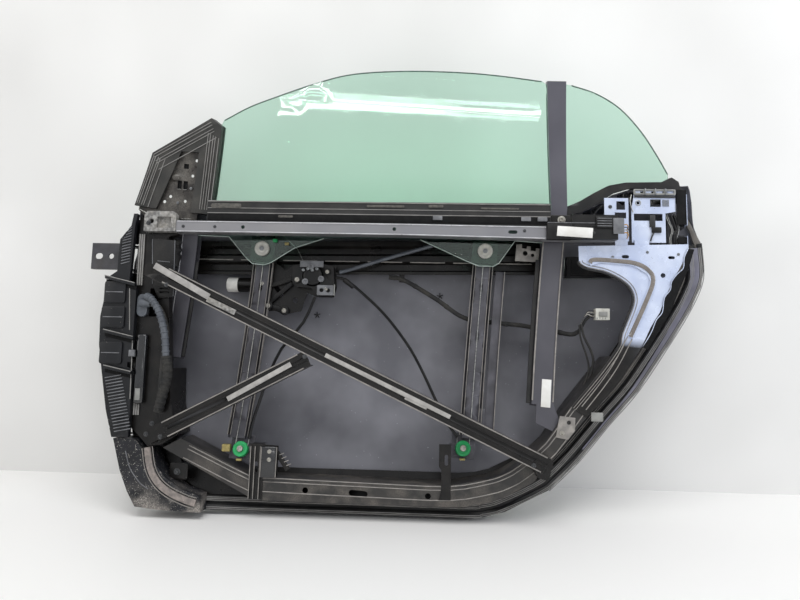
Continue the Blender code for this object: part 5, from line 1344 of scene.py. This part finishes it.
@dataclass
class Lifter:
    """Pulleys' caps, discs, rails' folds, gearbox and front post of the window lifter."""

    cover_face: float = 56.7
    plate_face: float = 73.7
    drum: tuple[float, float] = (438.5, -27.0)

    def build(self) -> None:
        """Add the lifter's pieces."""
        for end, along, up in (("front", -225, -357), ("rear", 234, -310)):
            inward = glass_inward(up)
            turned(f"pulley_cap_{end}", on_glass(along, 5.1, up), inward,
                   [(6, 0), (6.4, 0.6), (5.8, 1.4), (3, 1.5), (2.6, 0.6)], Coat.BOLT)
            turned(f"pulley_face_{end}", on_glass(along, 8.7, up), inward,
                   [(15, 0), (15.4, 0.4), (14.6, 1.2), (10.5, 1.4), (9.8, 0.6)], Coat.GREEN_ACETAL, 32,
                   f"{end}_pulley")
            low = on_glass(along, 14.2, up - 19.5)
            block(f"pulley_clip_{end}", low + Vector((-6, -3, -4)), low + Vector((6, 3, 0.5)),
                  Coat.SPRING_BRASS, 1.0)
        self.disc("front", -238, 72)
        self.disc("rear", 247, 109)
        self.rail_flanges()
        block("cable_end_block", (272, 8, -404), (289, 20, -389), Coat.SPRING_BRASS, 1.5)
        self.gearbox()
        self.fittings()
        self.post_details()

    def disc(self, end: str, along: float, up: float) -> None:
        """Add the knurled rim and the screw of one fixing disc.

        Args:
            end: Which end of the window it is at.
            along: Its place along the glass.
            up: Its place up the glass.
        """
        inward = glass_inward(up)
        top = inward.cross(GLASS_AXIS)
        teeth = []
        for number in range(28):
            turn = math.tau * number / 28
            spoke = GLASS_AXIS * math.cos(turn) + top * math.sin(turn)
            base = on_glass(along, -3.2, up) + spoke * 15.8
            path = [base, base + inward * 4.5]
            teeth.append(tube(f"disc_tooth_{end}_{number:02d}", path, 0.9, None, sides=1))
        clear_selection()
        for tooth in teeth:
            tooth.select_set(True)
        bpy.context.view_layer.objects.active = teeth[0]
        bpy.ops.object.join()
        knurl = bpy.context.object
        knurl.name = f"disc_knurl_{end}"
        finished(knurl, Coat.WHITE_NYLON, "window")
        place = on_glass(along, -9, up) + inward * 0.3
        Fastener(f"disc_screw_{end}", place, 5.2, Coat.ZINC_PLATE, inward, "window").build()

    def rail_flanges(self) -> None:
        """Add the outer flange of the rear rail, and the pale folds of both rails, painted highlights."""
        wrapped("rear_rail_flange", (276.2, 19.5, -280), (295, 21.2, 70), Coat.RAIL_STEEL)
        wrapped("rear_rail_foot", (260, 19.6, -280), (277, 21.1, -225), Coat.RAIL_STEEL)
        wrapped("rear_rail_flange_fold", (294.5, 15, -280), (296, 21.2, 70), Coat.RUBBED_EDGE, 0.2)
        for name, along, low, high in (("front", -238, -330, 105), ("rear", 247, -282, 145)):
            for number, (shift, back) in enumerate(((-21.5, 25), (-15.5, 16.4), (15.5, 16.4), (21.5, 25))):
                wrapped(f"rail_fold_{name}_{number}", (along + shift - 0.6, 15.2, low),
                        (along + shift + 0.6, back, high), Coat.RUBBED_EDGE, 0.2)

    def gearbox(self) -> None:
        """Add the bosses, arms, lobes, hood and connector box of the gearbox."""
        cover, back = self.cover_face, self.plate_face
        for number, (x, z, radius) in enumerate(((404.6, -36.4, 6), (471, -18, 5), (469, -56, 5))):
            turned(f"cover_boss_{number}", (x, cover, z), INBOARD,
                   [(radius * 1.25, 0), (radius * 1.25, 1.4), (radius * 1.1, 2)], Coat.BLACK_MOULDING)
            Fastener(f"cover_screw_{number}", (x, cover - 2.3, z), radius * 0.85).build()
        for number, (x, z) in enumerate(((325.9, -44.6), (339.5, -93.8), (375.9, -104.3))):
            turned(f"plate_boss_{number}", (x, back, z), INBOARD, [(9.8, 0), (9.4, 5.2), (8, 6.2)],
                   Coat.BLACK_MOULDING)
            Fastener(f"plate_screw_{number}", (x, back - 6.5, z), 5.2).build()
        for number, line in enumerate((((342, -86), (370, -61), (390, -43)),
                                       ((349, -96), (360, -99), (367, -102)),
                                       ((334, -50), (360, -44), (390, -33)))):
            plate(f"plate_arm_{number}", ribbon(line, 9), back - 4.0, back - 0.3, Coat.BLACK_MOULDING,
                  rounding=1.2)
        x, z = self.drum
        turned("drum_face", (x, cover + 2.7, z), INBOARD,
               [(12.5, 0), (12.5, 1.8), (11.2, 2.6), (6, 2.6), (5.2, 1.2)], Coat.DARK_SCREW, 28, "drum")
        for number in range(3):
            turn = math.radians(100 + 120 * number)
            place = (x + 20.5 * math.cos(turn), cover, z + 20.5 * math.sin(turn))
            turned(f"cover_lobe_{number}", place, INBOARD,
                   [(7, 0), (6.8, 3.6), (5.2, 4.6), (3, 4.6), (2.6, 3)], Coat.BLACK_EDGE)
        turned("cover_collar", (x, cover, z), INBOARD,
               [(20.5, 0), (20.5, 1.2), (19.5, 1.8), (15, 1.8), (14.5, 0.6)], Coat.BLACK_MOULDING, 32)
        block("connector_box_edge", (486.8, 52.5, -70.5), (489, cover, -46), Coat.CLIP_GREY, 0.5)
        for number in range(4):
            turned(f"hood_lug_{number}", (418 + 10 * number, 55, -15 + 3 * (number % 2)), INBOARD,
                   [(3.6, 0), (3.6, 2.2), (2.8, 3), (1.6, 3), (1.4, 1.6)], Coat.ZINC_PLATE, 16)
        block("gearbox_hood", (410, 54.5, -8), (462, cover, 6), Coat.BLACK_EDGE, 2.2)
        plate("connector_box", rounded(450, -70, 486, -48, 2), 52.5, cover, Coat.BLACK_EDGE,
              [ring(460, -59, 4.6), ring(474.5, -59.5, 4.6)])

    def fittings(self) -> None:
        """Add the skin's star marks, the motor's end, the conduits' sleeves and the glass clips."""
        for number, (x, z) in enumerate(((440, -108.5), (720.8, -59.6))):
            for leg in range(5):
                turn = math.tau * leg / 5 + 0.4
                middle = Vector(skin_line([(x, z)], -2.6)[0])
                tip = middle + Vector((7.5 * math.cos(turn), 0, 7.5 * math.sin(turn)))
                tube(f"skin_star_{number}_{leg}", [middle, tip], 1.1, Coat.WIRE_DARK, sides=2)
        turned("motor_end", (237.5, 98, -45), SIDEWAYS, [(13, 0), (16.2, 1.6), (16.8, 6), (16.8, 26)],
               Coat.PALE_CAP, 32)
        turned("conduit_sleeve", (506, 70.5, -32), Vector((30, 8, -22.5)).normalized(),
               [(4.8, 0), (5.6, 1), (5.6, 26), (4.6, 28)], Coat.BLACK_MOULDING)
        tube("conduit_jacket", [(496, 67.2, -17.2), (520, 70, -10), (600, 70, 16), (700, 68.2, 46)], 4.2,
             Coat.HOSE_RUBBER, 5)
        block("glass_clip_green", (352, 36, 43), (361, 41, 50), Coat.GREEN_ACETAL, 0.8)
        block("glass_clip_yellow", (378, 37, 37), (387, 42, 43), Coat.SPRING_BRASS, 0.8)

    def post_details(self) -> None:
        """Add the box, the folds, the screws and the diagonal stay of the front post."""
        block("post_box", (358, -7, -452), (390.5, 2.6, -389), Coat.GLOSS_MOULDING, 3.0, 3)
        # The post's folds and the stay's ribs are pale tubes: painted highlights.
        for number, (x, front, low) in enumerate(((335, -1.6, -495), (344, -1.6, -495), (355, -1.6, -495),
                                                  (358.5, -7.2, -450), (390, -7.2, -450))):
            path = at_depth(((x, low), (x + 1, -390)), front)
            tube(f"post_fold_{number}", path, 0.9, Coat.RUBBED_EDGE)
        fasteners("post_screw", ((376, -7.3, -399), (376, -7.3, -415)), 4.4)
        plate("post_stay", ribbon(((389.5, -401), (401, -417), (414, -435)), 11), -1.0, 0.8, Coat.DIP_PRIMER)
        ribs = [((x, z), (x + 9, z + 4)) for x, z in ((396, -406), (401, -413), (406, -420), (411, -427))]
        flat_tubes("stay_rib", ribs, -1.6, 0.9, Coat.RUBBED_EDGE)


@dataclass
class GlassEdges:
    """Details on the guides, the sail and the panes, drawn as (along, depth, up) on the glass."""

    sail_depth: float = -13.1
    seal_depth: float = -18.4

    def build(self) -> None:
        """Add the guides' label, rubbers and folds, then the sail's, the carriers' and the panes'."""
        # The guides' pale edges are painted highlights.
        for name, low, high, coat, rounding in (
                ("guide_label", (385, -14.9, -212), (404.5, -14.3, -154), Coat.PAPER, 0.1),
                ("guide_edge_left", (365.5, -16, -200), (368.5, -14.3, 165), Coat.RUBBED_EDGE, 0.4),
                ("guide_edge_right", (408, -16, -200), (410.8, -14.3, 150), Coat.RUBBED_EDGE, 0.4),
                ("guide_rubber", (356, -10, -206), (364.5, -4.5, 100), Coat.EPDM, 0.4),
                ("front_guide_rubber", (-380, -9, -180), (-374, -4, 30), Coat.EPDM, 0.4),
                ("front_guide_edge", (-414.8, -13.8, -180), (-412.8, -12.3, 110), Coat.BEAM_EDGE, 0.4)):
            wrapped(name, low, high, coat, rounding)
        self.sail()
        self.carriers()
        self.pane_edges()

    def sail(self) -> None:
        """Add the sail's pale edges and ribs of painted highlight, its wires and rivets, and what shows through
        its holes: a near-black sheet of painted shade and two clips.
        """
        # Pale tubes along the sail's edge and foot: painted highlights.
        for name, line, radius in (("edge", ((-518, 138), (-503, 198), (-487, 255)), 1.2),
                                   ("foot", ((-518, 135), (-470, 118), (-400, 122.5)), 1.0)):
            tube(f"sail_highlight_{name}", glass_line(line, self.sail_depth), radius, Coat.BRIGHT_WIRE, 6)
        wire = ((-506, 155), (-495, 190), (-478, 218), (-462, 242), (-456, 262))
        for number, shift in enumerate((0, 6.5)):
            path = glass_line([(u + shift, s) for u, s in wire], self.sail_depth)
            tube(f"sail_wire_{number}", path, 0.9, Coat.WIRE_PALE, 5)
        turned("sail_boss", on_glass(-486, -12.8, 150), glass_inward(160),
               [(7, 0), (6.8, 3), (5, 4.2), (3, 4.2), (2.6, 2)], Coat.DARK_SCREW)
        for number, (u, s) in enumerate(((-448, 230), (-406, 190), (-433, 156))):
            spot = on_glass(u, -12.8, s)
            Fastener(f"sail_rivet_{number}", spot, 3.2, Coat.ZINC_PLATE, glass_inward(s)).build()
        # The ribs are pale tubes: painted highlights.
        for name, right, down, line in (("side", 0.95, 0.25, ((-524, 148), (-493.5, 256))),
                                        ("top", 0.5, 1.2, ((-493.5, 260), (-369, 339.5)))):
            for number, inset in enumerate((2.5, 7, 13.5, 18, 29)):
                path = glass_line([(u + inset * right, s - inset * down) for u, s in line], self.seal_depth)
                tube(f"sail_rib_{name}_{number}", path, 0.9, Coat.EPDM_EDGE)
        for number, shift in enumerate((0, 5, 11, 16, 23.5)):
            line = ((-381 + shift, 145), (-372.8 + shift, 313 - shift * 0.4))
            tube(f"sail_run_rib_{number}", glass_line(line, self.seal_depth), 0.9, Coat.EPDM_EDGE)
        # Near-black sheet behind the holes: painted shade.
        wrapped("sail_hole_shade", (-442, -7, 180), (-410, -5, 248), Coat.SEAM_RUBBER)
        for number, u in enumerate((-433, -419.8)):
            wrapped(f"sail_clip_{number}", (u - 4.8, -13.4, 186), (u + 4.8, -12.6, 186.8),
                    Coat.BRIGHT_WIRE, 0.2)

    def carriers(self) -> None:
        """Add a near-black sheet of painted shade behind each fixing disc, with its pale outline of painted
        highlight.
        """
        lines = ((-21, -30, 19, -29.2), (-21, -30, -20.2, 18), (18.2, -30, 19, 18))
        for number, (u, s) in enumerate(((-238, 72), (247, 109))):
            wrapped(f"carrier_plate_{number}", (u - 21, 3.4, s - 30), (u + 19, 5.2, s + 18), Coat.SEAM_RUBBER,
                    body="window")
            for side, (left, low, right, high) in enumerate(lines):
                wrapped(f"carrier_line_{number}_{side}", (u + left, 2.8, s + low), (u + right, 3.4, s + high),
                        Coat.RUBBED_EDGE, 0.1, "window")

    def pane_edges(self) -> None:
        """Add the edge lines of both panes: pale painted highlights along the lower edges and dark lines along
        the crowns.
        """
        foot = ((380, 138), (309, 137), (279, 86), (268, 78), (236, 76), (210, 84), (105, 122))
        toe = ((-105, 106), (-167, 80), (-216, 43), (-230, 37), (-256, 37), (-270, 47), (-315, 92),
               (-400, 88))
        crown = ((-344, 345), (-290, 377), (-227, 404.5), (-139, 439.5), (-63, 461.5), (46, 474.5),
                 (158, 479.5), (242, 478.5), (329, 473.5))
        bow = ((392, 470), (445, 457), (498, 431), (548, 388), (588, 341), (614.5, 305))
        for name, line, depth, radius, coat, steps, body in (
                ("foot", foot, -3.2, 0.9, Coat.GLASS_EDGE, 0, "window"),
                ("toe", toe, -3.2, 0.9, Coat.GLASS_EDGE, 0, "window"),
                ("crown", crown, -0.4, 1.4, Coat.GLASS_RIM, 5, "window"),
                ("bow", bow, -0.4, 1.4, Coat.GLASS_RIM, 5, "door")):
            tube(f"pane_edge_{name}", glass_line(line, depth), radius, coat, steps, body)


@dataclass
class HingeSide:
    """Louvres, panels, rubber strips and brackets down the hinge side."""

    cover_front: float = -14.0

    def build(self) -> None:
        """Add the hinge side's pieces."""
        self.louvres()
        self.pillar()
        self.ledges()
        self.hoses()
        self.foot()

    def louvres(self) -> None:
        """Add the louvres, panels and clip of the side cover."""
        front = self.cover_front
        # The louvres and the panels' ribs are in the moulding's painted highlight grey.
        for number in range(13):
            z = 58 - 6.2 * number
            left = 40.5 + 12 * ease((z - 30) / 28)
            path = at_depth(((left + 3, z - 2), (62, z + 3)), front - 0.6)
            tube(f"upper_louvre_{number:02d}", path, 1.0, Coat.BLACK_EDGE)
        for number in range(18):
            left, z = 23 + 1.62 * number, -256 - 6.4 * number
            path = at_depth(((left + 4, z - 2), (left + 38, z + 5)), front - 0.6)
            tube(f"lower_louvre_{number:02d}", path, 1.1, Coat.BLACK_EDGE)
        for number, (left, low, right, high) in enumerate(((14, -102, 59, -56), (11, -154, 60, -109),
                                                           (13, -229, 60, -183))):
            middle = (low + high) / 2
            plate(f"cover_panel_{number}", rounded(left, low, right, high, 5), front - 4.2, front - 0.3,
                  Coat.DUSTY_MOULDING, rounding=1.6)
            block(f"cover_rib_{number}", (left + 4, front - 5.6, middle - 1),
                  (right - 4, front - 4.4, middle + 1), Coat.BLACK_EDGE)
        block("cover_clip", (75, -19, -213), (88, -14.3, -199), Coat.BLACK_EDGE, 1.2)

    def pillar(self) -> None:
        """Add the rubbers, the box, the check boot, the cover and the bracket on the pillar."""
        # The rubbers' strips are pale tubes: painted highlights.
        for number, (left, low, high) in enumerate(((76, -62, 48), (87, -333, -245))):
            lines = [((left + shift, low), (left + shift - 1, high)) for shift in (0, 4.6, 9.2)]
            flat_tubes(f"pillar_rubber_{number}", lines, -2.2, 1.8, Coat.EPDM_EDGE)
        block("pillar_box", (87, -14, -310), (108.5, -0.4, -165), Coat.GLOSS_MOULDING, 6.0, 4)
        block("pillar_box_patch", (92.5, -15, -302), (103, -14.3, -278), Coat.CLIP_GREY, 0.3)
        turned("door_check_boot", (140, 30, 44), (0, 0, -1),
               [(9, 0), (13.5, 6), (10.5, 14), (13.8, 22), (10.5, 30), (13.8, 38), (10, 48), (8.5, 60)],
               Coat.EPDM, 24)
        outline = [(103, 38), (153, 35), (157, -86), (124, -90), (110, -60)]
        slots = [rounded(126, low, 148, low + 3, 1) for low in (-70, -78)]
        plate("pillar_cover", outline, -6.2, -2.6, Coat.BLACK_MOULDING, slots, 1.0)
        # The cover's pale edges are painted highlights.
        edges = (((104, 37), (110.5, -59)), ((153, 35), (156.8, -85)), ((118, -10), (145, -12)))
        flat_tubes("pillar_cover_edge", edges, -6.4, 0.8, Coat.BLACK_EDGE)
        plate("pillar_bracket", [(105, 38), (134, 42), (135, 20), (126, 12), (112, 14)], -2.0, -0.3,
              Coat.DIP_PRIMER, [ring(120, 29, 4)])
        for number, place in ((0, (98, -16.3, 70)), (2, (126, -0.3, -350)), (3, (115, -0.3, -372)),
                              (4, (129, -2.3, 18))):
            Fastener(f"pillar_bolt_{number}", place, 5.2, Coat.DARK_SCREW).build()

    def ledges(self) -> None:
        """Add the shelves of the side cover with pale edges of painted highlight, the near-black strips of
        painted shadow below them, and the cover's pale upright lines of painted highlight.
        """
        front = self.cover_front
        for number, (left, z, right, fall) in enumerate(((15, -44, 80, 15), (20, -157, 84, 14),
                                                         (26, -231, 84, 12))):
            top = [(left, z), (right, z - fall)]
            shelf = top + [(x, h - 7) for x, h in top[::-1]]
            plate(f"shelf_{number}", shelf, front - 8.5, front - 0.3, Coat.DUSTY_MOULDING, rounding=1.0)
            # Near-black strip below each shelf: painted shadow.
            gap = [(x, h - 7.4) for x, h in top] + [(x, h - 15) for x, h in top[::-1]]
            plate(f"shelf_shadow_{number}", gap, front - 1.2, front - 0.3, Coat.SEAM_RUBBER)
            tube(f"shelf_edge_{number}", [(x, front - 8.6, h - 0.6) for x, h in top], 1.0, Coat.EPDM_EDGE)
        # The cover's upright lines are pale tubes: painted highlights.
        lines = (((66, -70), (72, -158)), ((80, -180), (83, -300)))
        flat_tubes("cover_line", lines, front - 0.5, 1.0, Coat.EPDM_EDGE)

    def hoses(self) -> None:
        """Add the ribbed hose and the taped harness below it."""
        hose = smooth_path([(102, -15, -86), (116, -18, -93), (134, -17, -121), (147, -15, -165),
                            (153, -13, -220)], 8)
        tube("ribbed_hose", hose, 7.0, Coat.HOSE_RUBBER)
        collars("hose_rib", hose, range(1, len(hose) - 2, 2), [(7, 0), (8, 1), (8, 3.2), (7, 4.2)],
                Coat.HOSE_RUBBER, 20)
        lump = smooth_path([(153, -12, -210), (157, -12, -250), (150, -13, -290), (142, -11, -325)], 6)
        tube("taped_harness", lump, 9.5, Coat.CLOTH_TAPE)
        collars("tape_fold", lump, range(0, len(lump) - 2, 2), [(9.5, 0), (10.6, 1.2), (10.3, 5), (9.4, 6.2)],
                Coat.CLOTH_TAPE)

    def foot(self) -> None:
        """Add the dusty rim, the cover's curl and the bracket at the hinge foot."""
        rim = smooth_path([(124, -397), (133, -438), (150, -466), (175, -485), (208, -499), (230, -505)], 5)
        plate("dusty_rim", ribbon(rim, 13), -12.2, -8.3, Coat.CAKED_DUST, rounding=1.8)
        # The rim's lines and the cover's curl are pale tubes: painted highlights.
        lines = [inset_path(rim, shift) for shift in (-11.5, 10)]
        flat_tubes("rim_line", lines, -9.2, 1.0, Coat.RUBBED_EDGE)
        curl = at_depth(((78, -406), (90, -440), (112, -468), (130, -480)), -8.5)
        tube("cover_curl", curl, 0.9, Coat.BLACK_EDGE, 5)
        plate("foot_bracket", rounded(164, -464, 202, -430, 5), 12, 14, Coat.DIP_PRIMER)
        Fastener("foot_bracket_bolt", (180, 11.7, -448), 7.0, Coat.DARK_SCREW).build()


@dataclass
class Wiring:
    """Taped bundle and loose wires at the rear of the door."""

    route: tuple[Point, ...] = (
        (605, 87, -23), (640, 87, -30), (710, 85, -70), (774, 83, -111.5), (844, 83, -121.2), (896, 80, -125.6),
        (960, 72, -136), (1004, 60, -144), (1020, 50, -130), (1030, 45, -112), (1043, 40, -103))
    # The thick tape ends at this point of the smoothed route.
    taped_to: int = 45

    def build(self) -> None:
        """Add the wires, the drop of the harness, its clips and the cross harness's tape."""
        for number in range(5):
            rise = 3.6 * number
            path = [(1045.2, 39, -109.5 + rise), (1038, 38, -109 + rise), (1031, 38.5, -104 + rise / 2),
                    (1023, 40, -111), (1018, 42, -123)]
            tube(f"plug_wire_{number}", path, 0.9, Coat.WIRE_PALE if number % 2 else Coat.WIRE_DARK, 4)
        drops = (((1018, 42, -123), (1024, 41, -150), (1038, 40, -180), (1042, 40, -205), (1030, 40, -245),
                  (1006, 39, -280), (980, 38, -315)),
                 ((1015, 44, -125), (1018, 43, -155), (1029, 42, -190), (1033, 42, -220), (1018, 42, -260),
                  (990, 41, -300)))
        for number, (path, radius) in enumerate(zip(drops, (2.6, 2.0))):
            tube(f"harness_drop_{number}", path, radius, Coat.CLOTH_TAPE, 6)
        path = smooth_path(self.route, 6)
        tape = tube("cross_harness_tape", path[:self.taped_to + 1], 5.0, None)
        dress(tape, Coat.CLOTH_TAPE, "door", "cross_harness")
        tube("cross_harness_tail", path[self.taped_to:], 3.0, Coat.CLOTH_TAPE)
        collars("tape_turn", path, range(2, self.taped_to - 1, 6), [(5, 0), (5.6, 0.8), (5.6, 7), (5, 7.8)],
                Coat.CLOTH_TAPE)
        block("plug_latch", (1052, 28.2, -107), (1070, 29.7, -97), Coat.CLIP_GREY)
        ribs = [((x, -112.5), (x, -109)) for x in (1048.5, 1054.3, 1060.1, 1065.9)]
        flat_tubes("plug_rib", ribs, 29.4, 0.7, Coat.ZINC_PLATE)
        outline = [(964, -313), (995, -316), (994, -342), (980, -360), (956, -356), (960, -330)]
        plate("guide_foot_bracket", outline, 1.8, 3.6, Coat.RUBBED_EDGE, [ring(982, -326, 4.2)])
        Fastener("guide_foot_bolt", (968, 1.5, -347), 5.0).build()


def placed(first: Vector, second: Vector, third: Vector, origin: Vector) -> Matrix:
    """Matrix of an object from its three axes and its origin.

    Args:
        first: The X axis.
        second: The Y axis.
        third: The Z axis.
        origin: The origin.

    Returns:
        The matrix.
    """
    matrix = Matrix((first, second, third)).transposed().to_4x4()
    matrix.translation = origin
    return matrix


@dataclass
class Studio:
    """Floor, wall, lamps, world and camera, in metres of the photograph's leaning room.

    The large lamps stay out of the arc behind the camera that the main glass mirrors.
    """

    floor_height: float = -0.5372
    wall_distance: float = 0.235
    camera_place: tuple[float, float, float] = (0.6872, -1.2448, -0.2139)
    camera_forward: tuple[float, float, float] = (-0.0419, 0.9936, 0.1044)
    camera_up: tuple[float, float, float] = (-0.0185, -0.1053, 0.9943)
    photo_width_px: float = 800.0
    focal_px: float = 601.0
    sensor_mm: float = 36.0

    def surface(self, name: str, middle: Vector, first: Vector, second: Vector, colour: str,
                roughness: float) -> None:
        """Add one plain stage surface, clear from behind so that the door's outside can be seen.

        Args:
            name: The surface's name.
            middle: Its middle.
            first: One direction along it.
            second: The direction along it at right angles to the first.
            colour: Its hex colour.
            roughness: Its roughness.
        """
        clear_selection()
        bpy.ops.mesh.primitive_grid_add(x_subdivisions=4, y_subdivisions=4, size=7.0)
        piece = bpy.context.object
        piece.name = name
        piece.data.transform(placed(first, second, first.cross(second), middle))
        made, tree, shader, place = new_material(name)
        shader.inputs["Roughness"].default_value = roughness
        cloud = add_node(tree, "ShaderNodeTexNoise", {"Scale": 2.0, "Detail": 2.0}, {"Vector": place})
        colours = add_node(tree, "ShaderNodeMix",
                           {"data_type": "RGBA", 6: linear(colour), 7: linear("f4f3f1")},
                           {0: cloud.outputs[0]})
        tree.links.new(colours.outputs[2], shader.inputs["Base Color"])
        clear_where(tree, shader, add_node(tree, "ShaderNodeNewGeometry").outputs["Backfacing"])
        piece.data.materials.append(made)

    def lamp(self, name: str, matrix: Matrix, size: tuple[float, float], power: float,
             colour: str = "ffffff") -> None:
        """Add a soft rectangular lamp.

        Args:
            name: The lamp's name.
            matrix: Its place and turn.
            size: Width and height, in metres.
            power: Its power in watts.
            colour: Its hex colour.
        """
        data = bpy.data.lights.new(name, "AREA")
        data.shape = "RECTANGLE"
        data.size, data.size_y = size
        data.energy = power
        data.color = linear(colour)[:3]
        lamp = bpy.data.objects.new(name, data)
        bpy.context.scene.collection.objects.link(lamp)
        lamp.matrix_world = matrix

    def facing(self, place: Point, target: Point) -> Matrix:
        """Matrix of a lamp at a place that faces a target."""
        way = Vector(target) - Vector(place)
        return Matrix.Translation(Vector(place)) @ way.to_track_quat("-Z", "Y").to_matrix().to_4x4()

    def tube_lamp(self) -> None:
        """Twin tube lamp, far behind the camera, whose mirror image is the streak across the glass."""
        left, right = Vector((-0.780, -4.010, -0.130)), Vector((1.460, -4.010, -0.310))
        middle = (left + right) / 2.0
        along = (right - left).normalized()
        up = (middle - glass_point(0.055, 0.0, 0.404)).normalized().cross(along).normalized()
        for number, lift in enumerate((-0.016, 0.016)):
            self.lamp(f"tube_lamp_{number}", placed(along, up, along.cross(up), middle + up * lift),
                      ((right - left).length, 0.014), 1.6)

    def world(self) -> None:
        """Soft white surroundings, plain white to the camera, to gloss and through glass."""
        world = bpy.data.worlds.new("studio")
        bpy.context.scene.world = world
        world.use_nodes = True
        tree = world.node_tree
        tree.nodes.clear()
        path = add_node(tree, "ShaderNodeLightPath").outputs
        seen = add_node(tree, "ShaderNodeMath", {"operation": "MAXIMUM"},
                        {0: path["Is Camera Ray"], 1: path["Is Transmission Ray"]}).outputs[0]
        fill, gloss, shown = (
            add_node(tree, "ShaderNodeBackground", {"Color": linear(colour), "Strength": power}).outputs[0]
            for colour, power in (("e9edf2", 0.60), ("f1f3f6", 0.85), ("fdfdfd", 1.0)))
        first = add_node(tree, "ShaderNodeMixShader", links={0: path["Is Glossy Ray"], 1: fill, 2: gloss})
        second = add_node(tree, "ShaderNodeMixShader", links={0: seen, 1: first.outputs[0], 2: shown})
        add_node(tree, "ShaderNodeOutputWorld", links={"Surface": second.outputs[0]})

    def camera(self) -> None:
        """Set the camera at the photograph's place and angle."""
        data = bpy.data.cameras.new("camera")
        data.sensor_width = self.sensor_mm
        data.lens = self.focal_px / self.photo_width_px * self.sensor_mm
        data.clip_start = 0.01
        view = bpy.data.objects.new("camera", data)
        bpy.context.scene.collection.objects.link(view)
        forward = Vector(self.camera_forward).normalized()
        right = forward.cross(Vector(self.camera_up)).normalized()
        view.matrix_world = placed(right, right.cross(forward), -forward, Vector(self.camera_place))
        bpy.context.scene.camera = view

    def build(self) -> None:
        """Set up the whole studio."""
        middle = Vector((0.640, 0.0, 0.0))
        floor = middle + ROOM_UP * self.floor_height
        wall = middle + ROOM_BACK * self.wall_distance
        self.surface("studio_floor", floor - ROOM_BACK * 2.0, SIDEWAYS, ROOM_BACK, "f6f4f1", 0.50)
        self.surface("studio_wall", wall + ROOM_UP * 2.2, SIDEWAYS, ROOM_UP, "d0cfcc", 0.85)
        for name, place, target, size, power, colour in (
                ("ceiling_lamp", middle + ROOM_UP * 2.2 - ROOM_BACK * 1.4, (0.64, 0.0, -0.1), (2.8, 1.2),
                 47.0, "ffffff"),
                ("left_lamp", (-2.1, -1.9, 0.9), (0.5, 0.0, -0.1), (0.8, 1.6), 11.0, "fffaf4"),
                ("right_lamp", (3.1, -1.7, 0.8), (0.9, 0.0, -0.1), (0.8, 1.6), 17.0, "f2f6ff")):
            self.lamp(name, self.facing(place, target), size, power, colour)
        self.tube_lamp()
        self.world()
        self.camera()
        bpy.context.scene.view_settings.view_transform = "Standard"


def main() -> None:
    """Build the studio and every sub-assembly, and report each piece."""
    logging.basicConfig(level=logging.INFO, format="%(name)s: %(message)s")
    FRAME.update(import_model())
    for part in (Studio(), PackedPieces(), SmoothedPieces(), Windows(), OuterSkin(), OutsideTrim(),
                 CrashBeamTrim(), RimTrim(), BeltLine(), LatchCorner(), Lifter(), GlassEdges(), HingeSide(),
                 Wiring()):
        log.info("building %s", type(part).__name__)
        part.build()


if __name__ == "__main__":
    main()
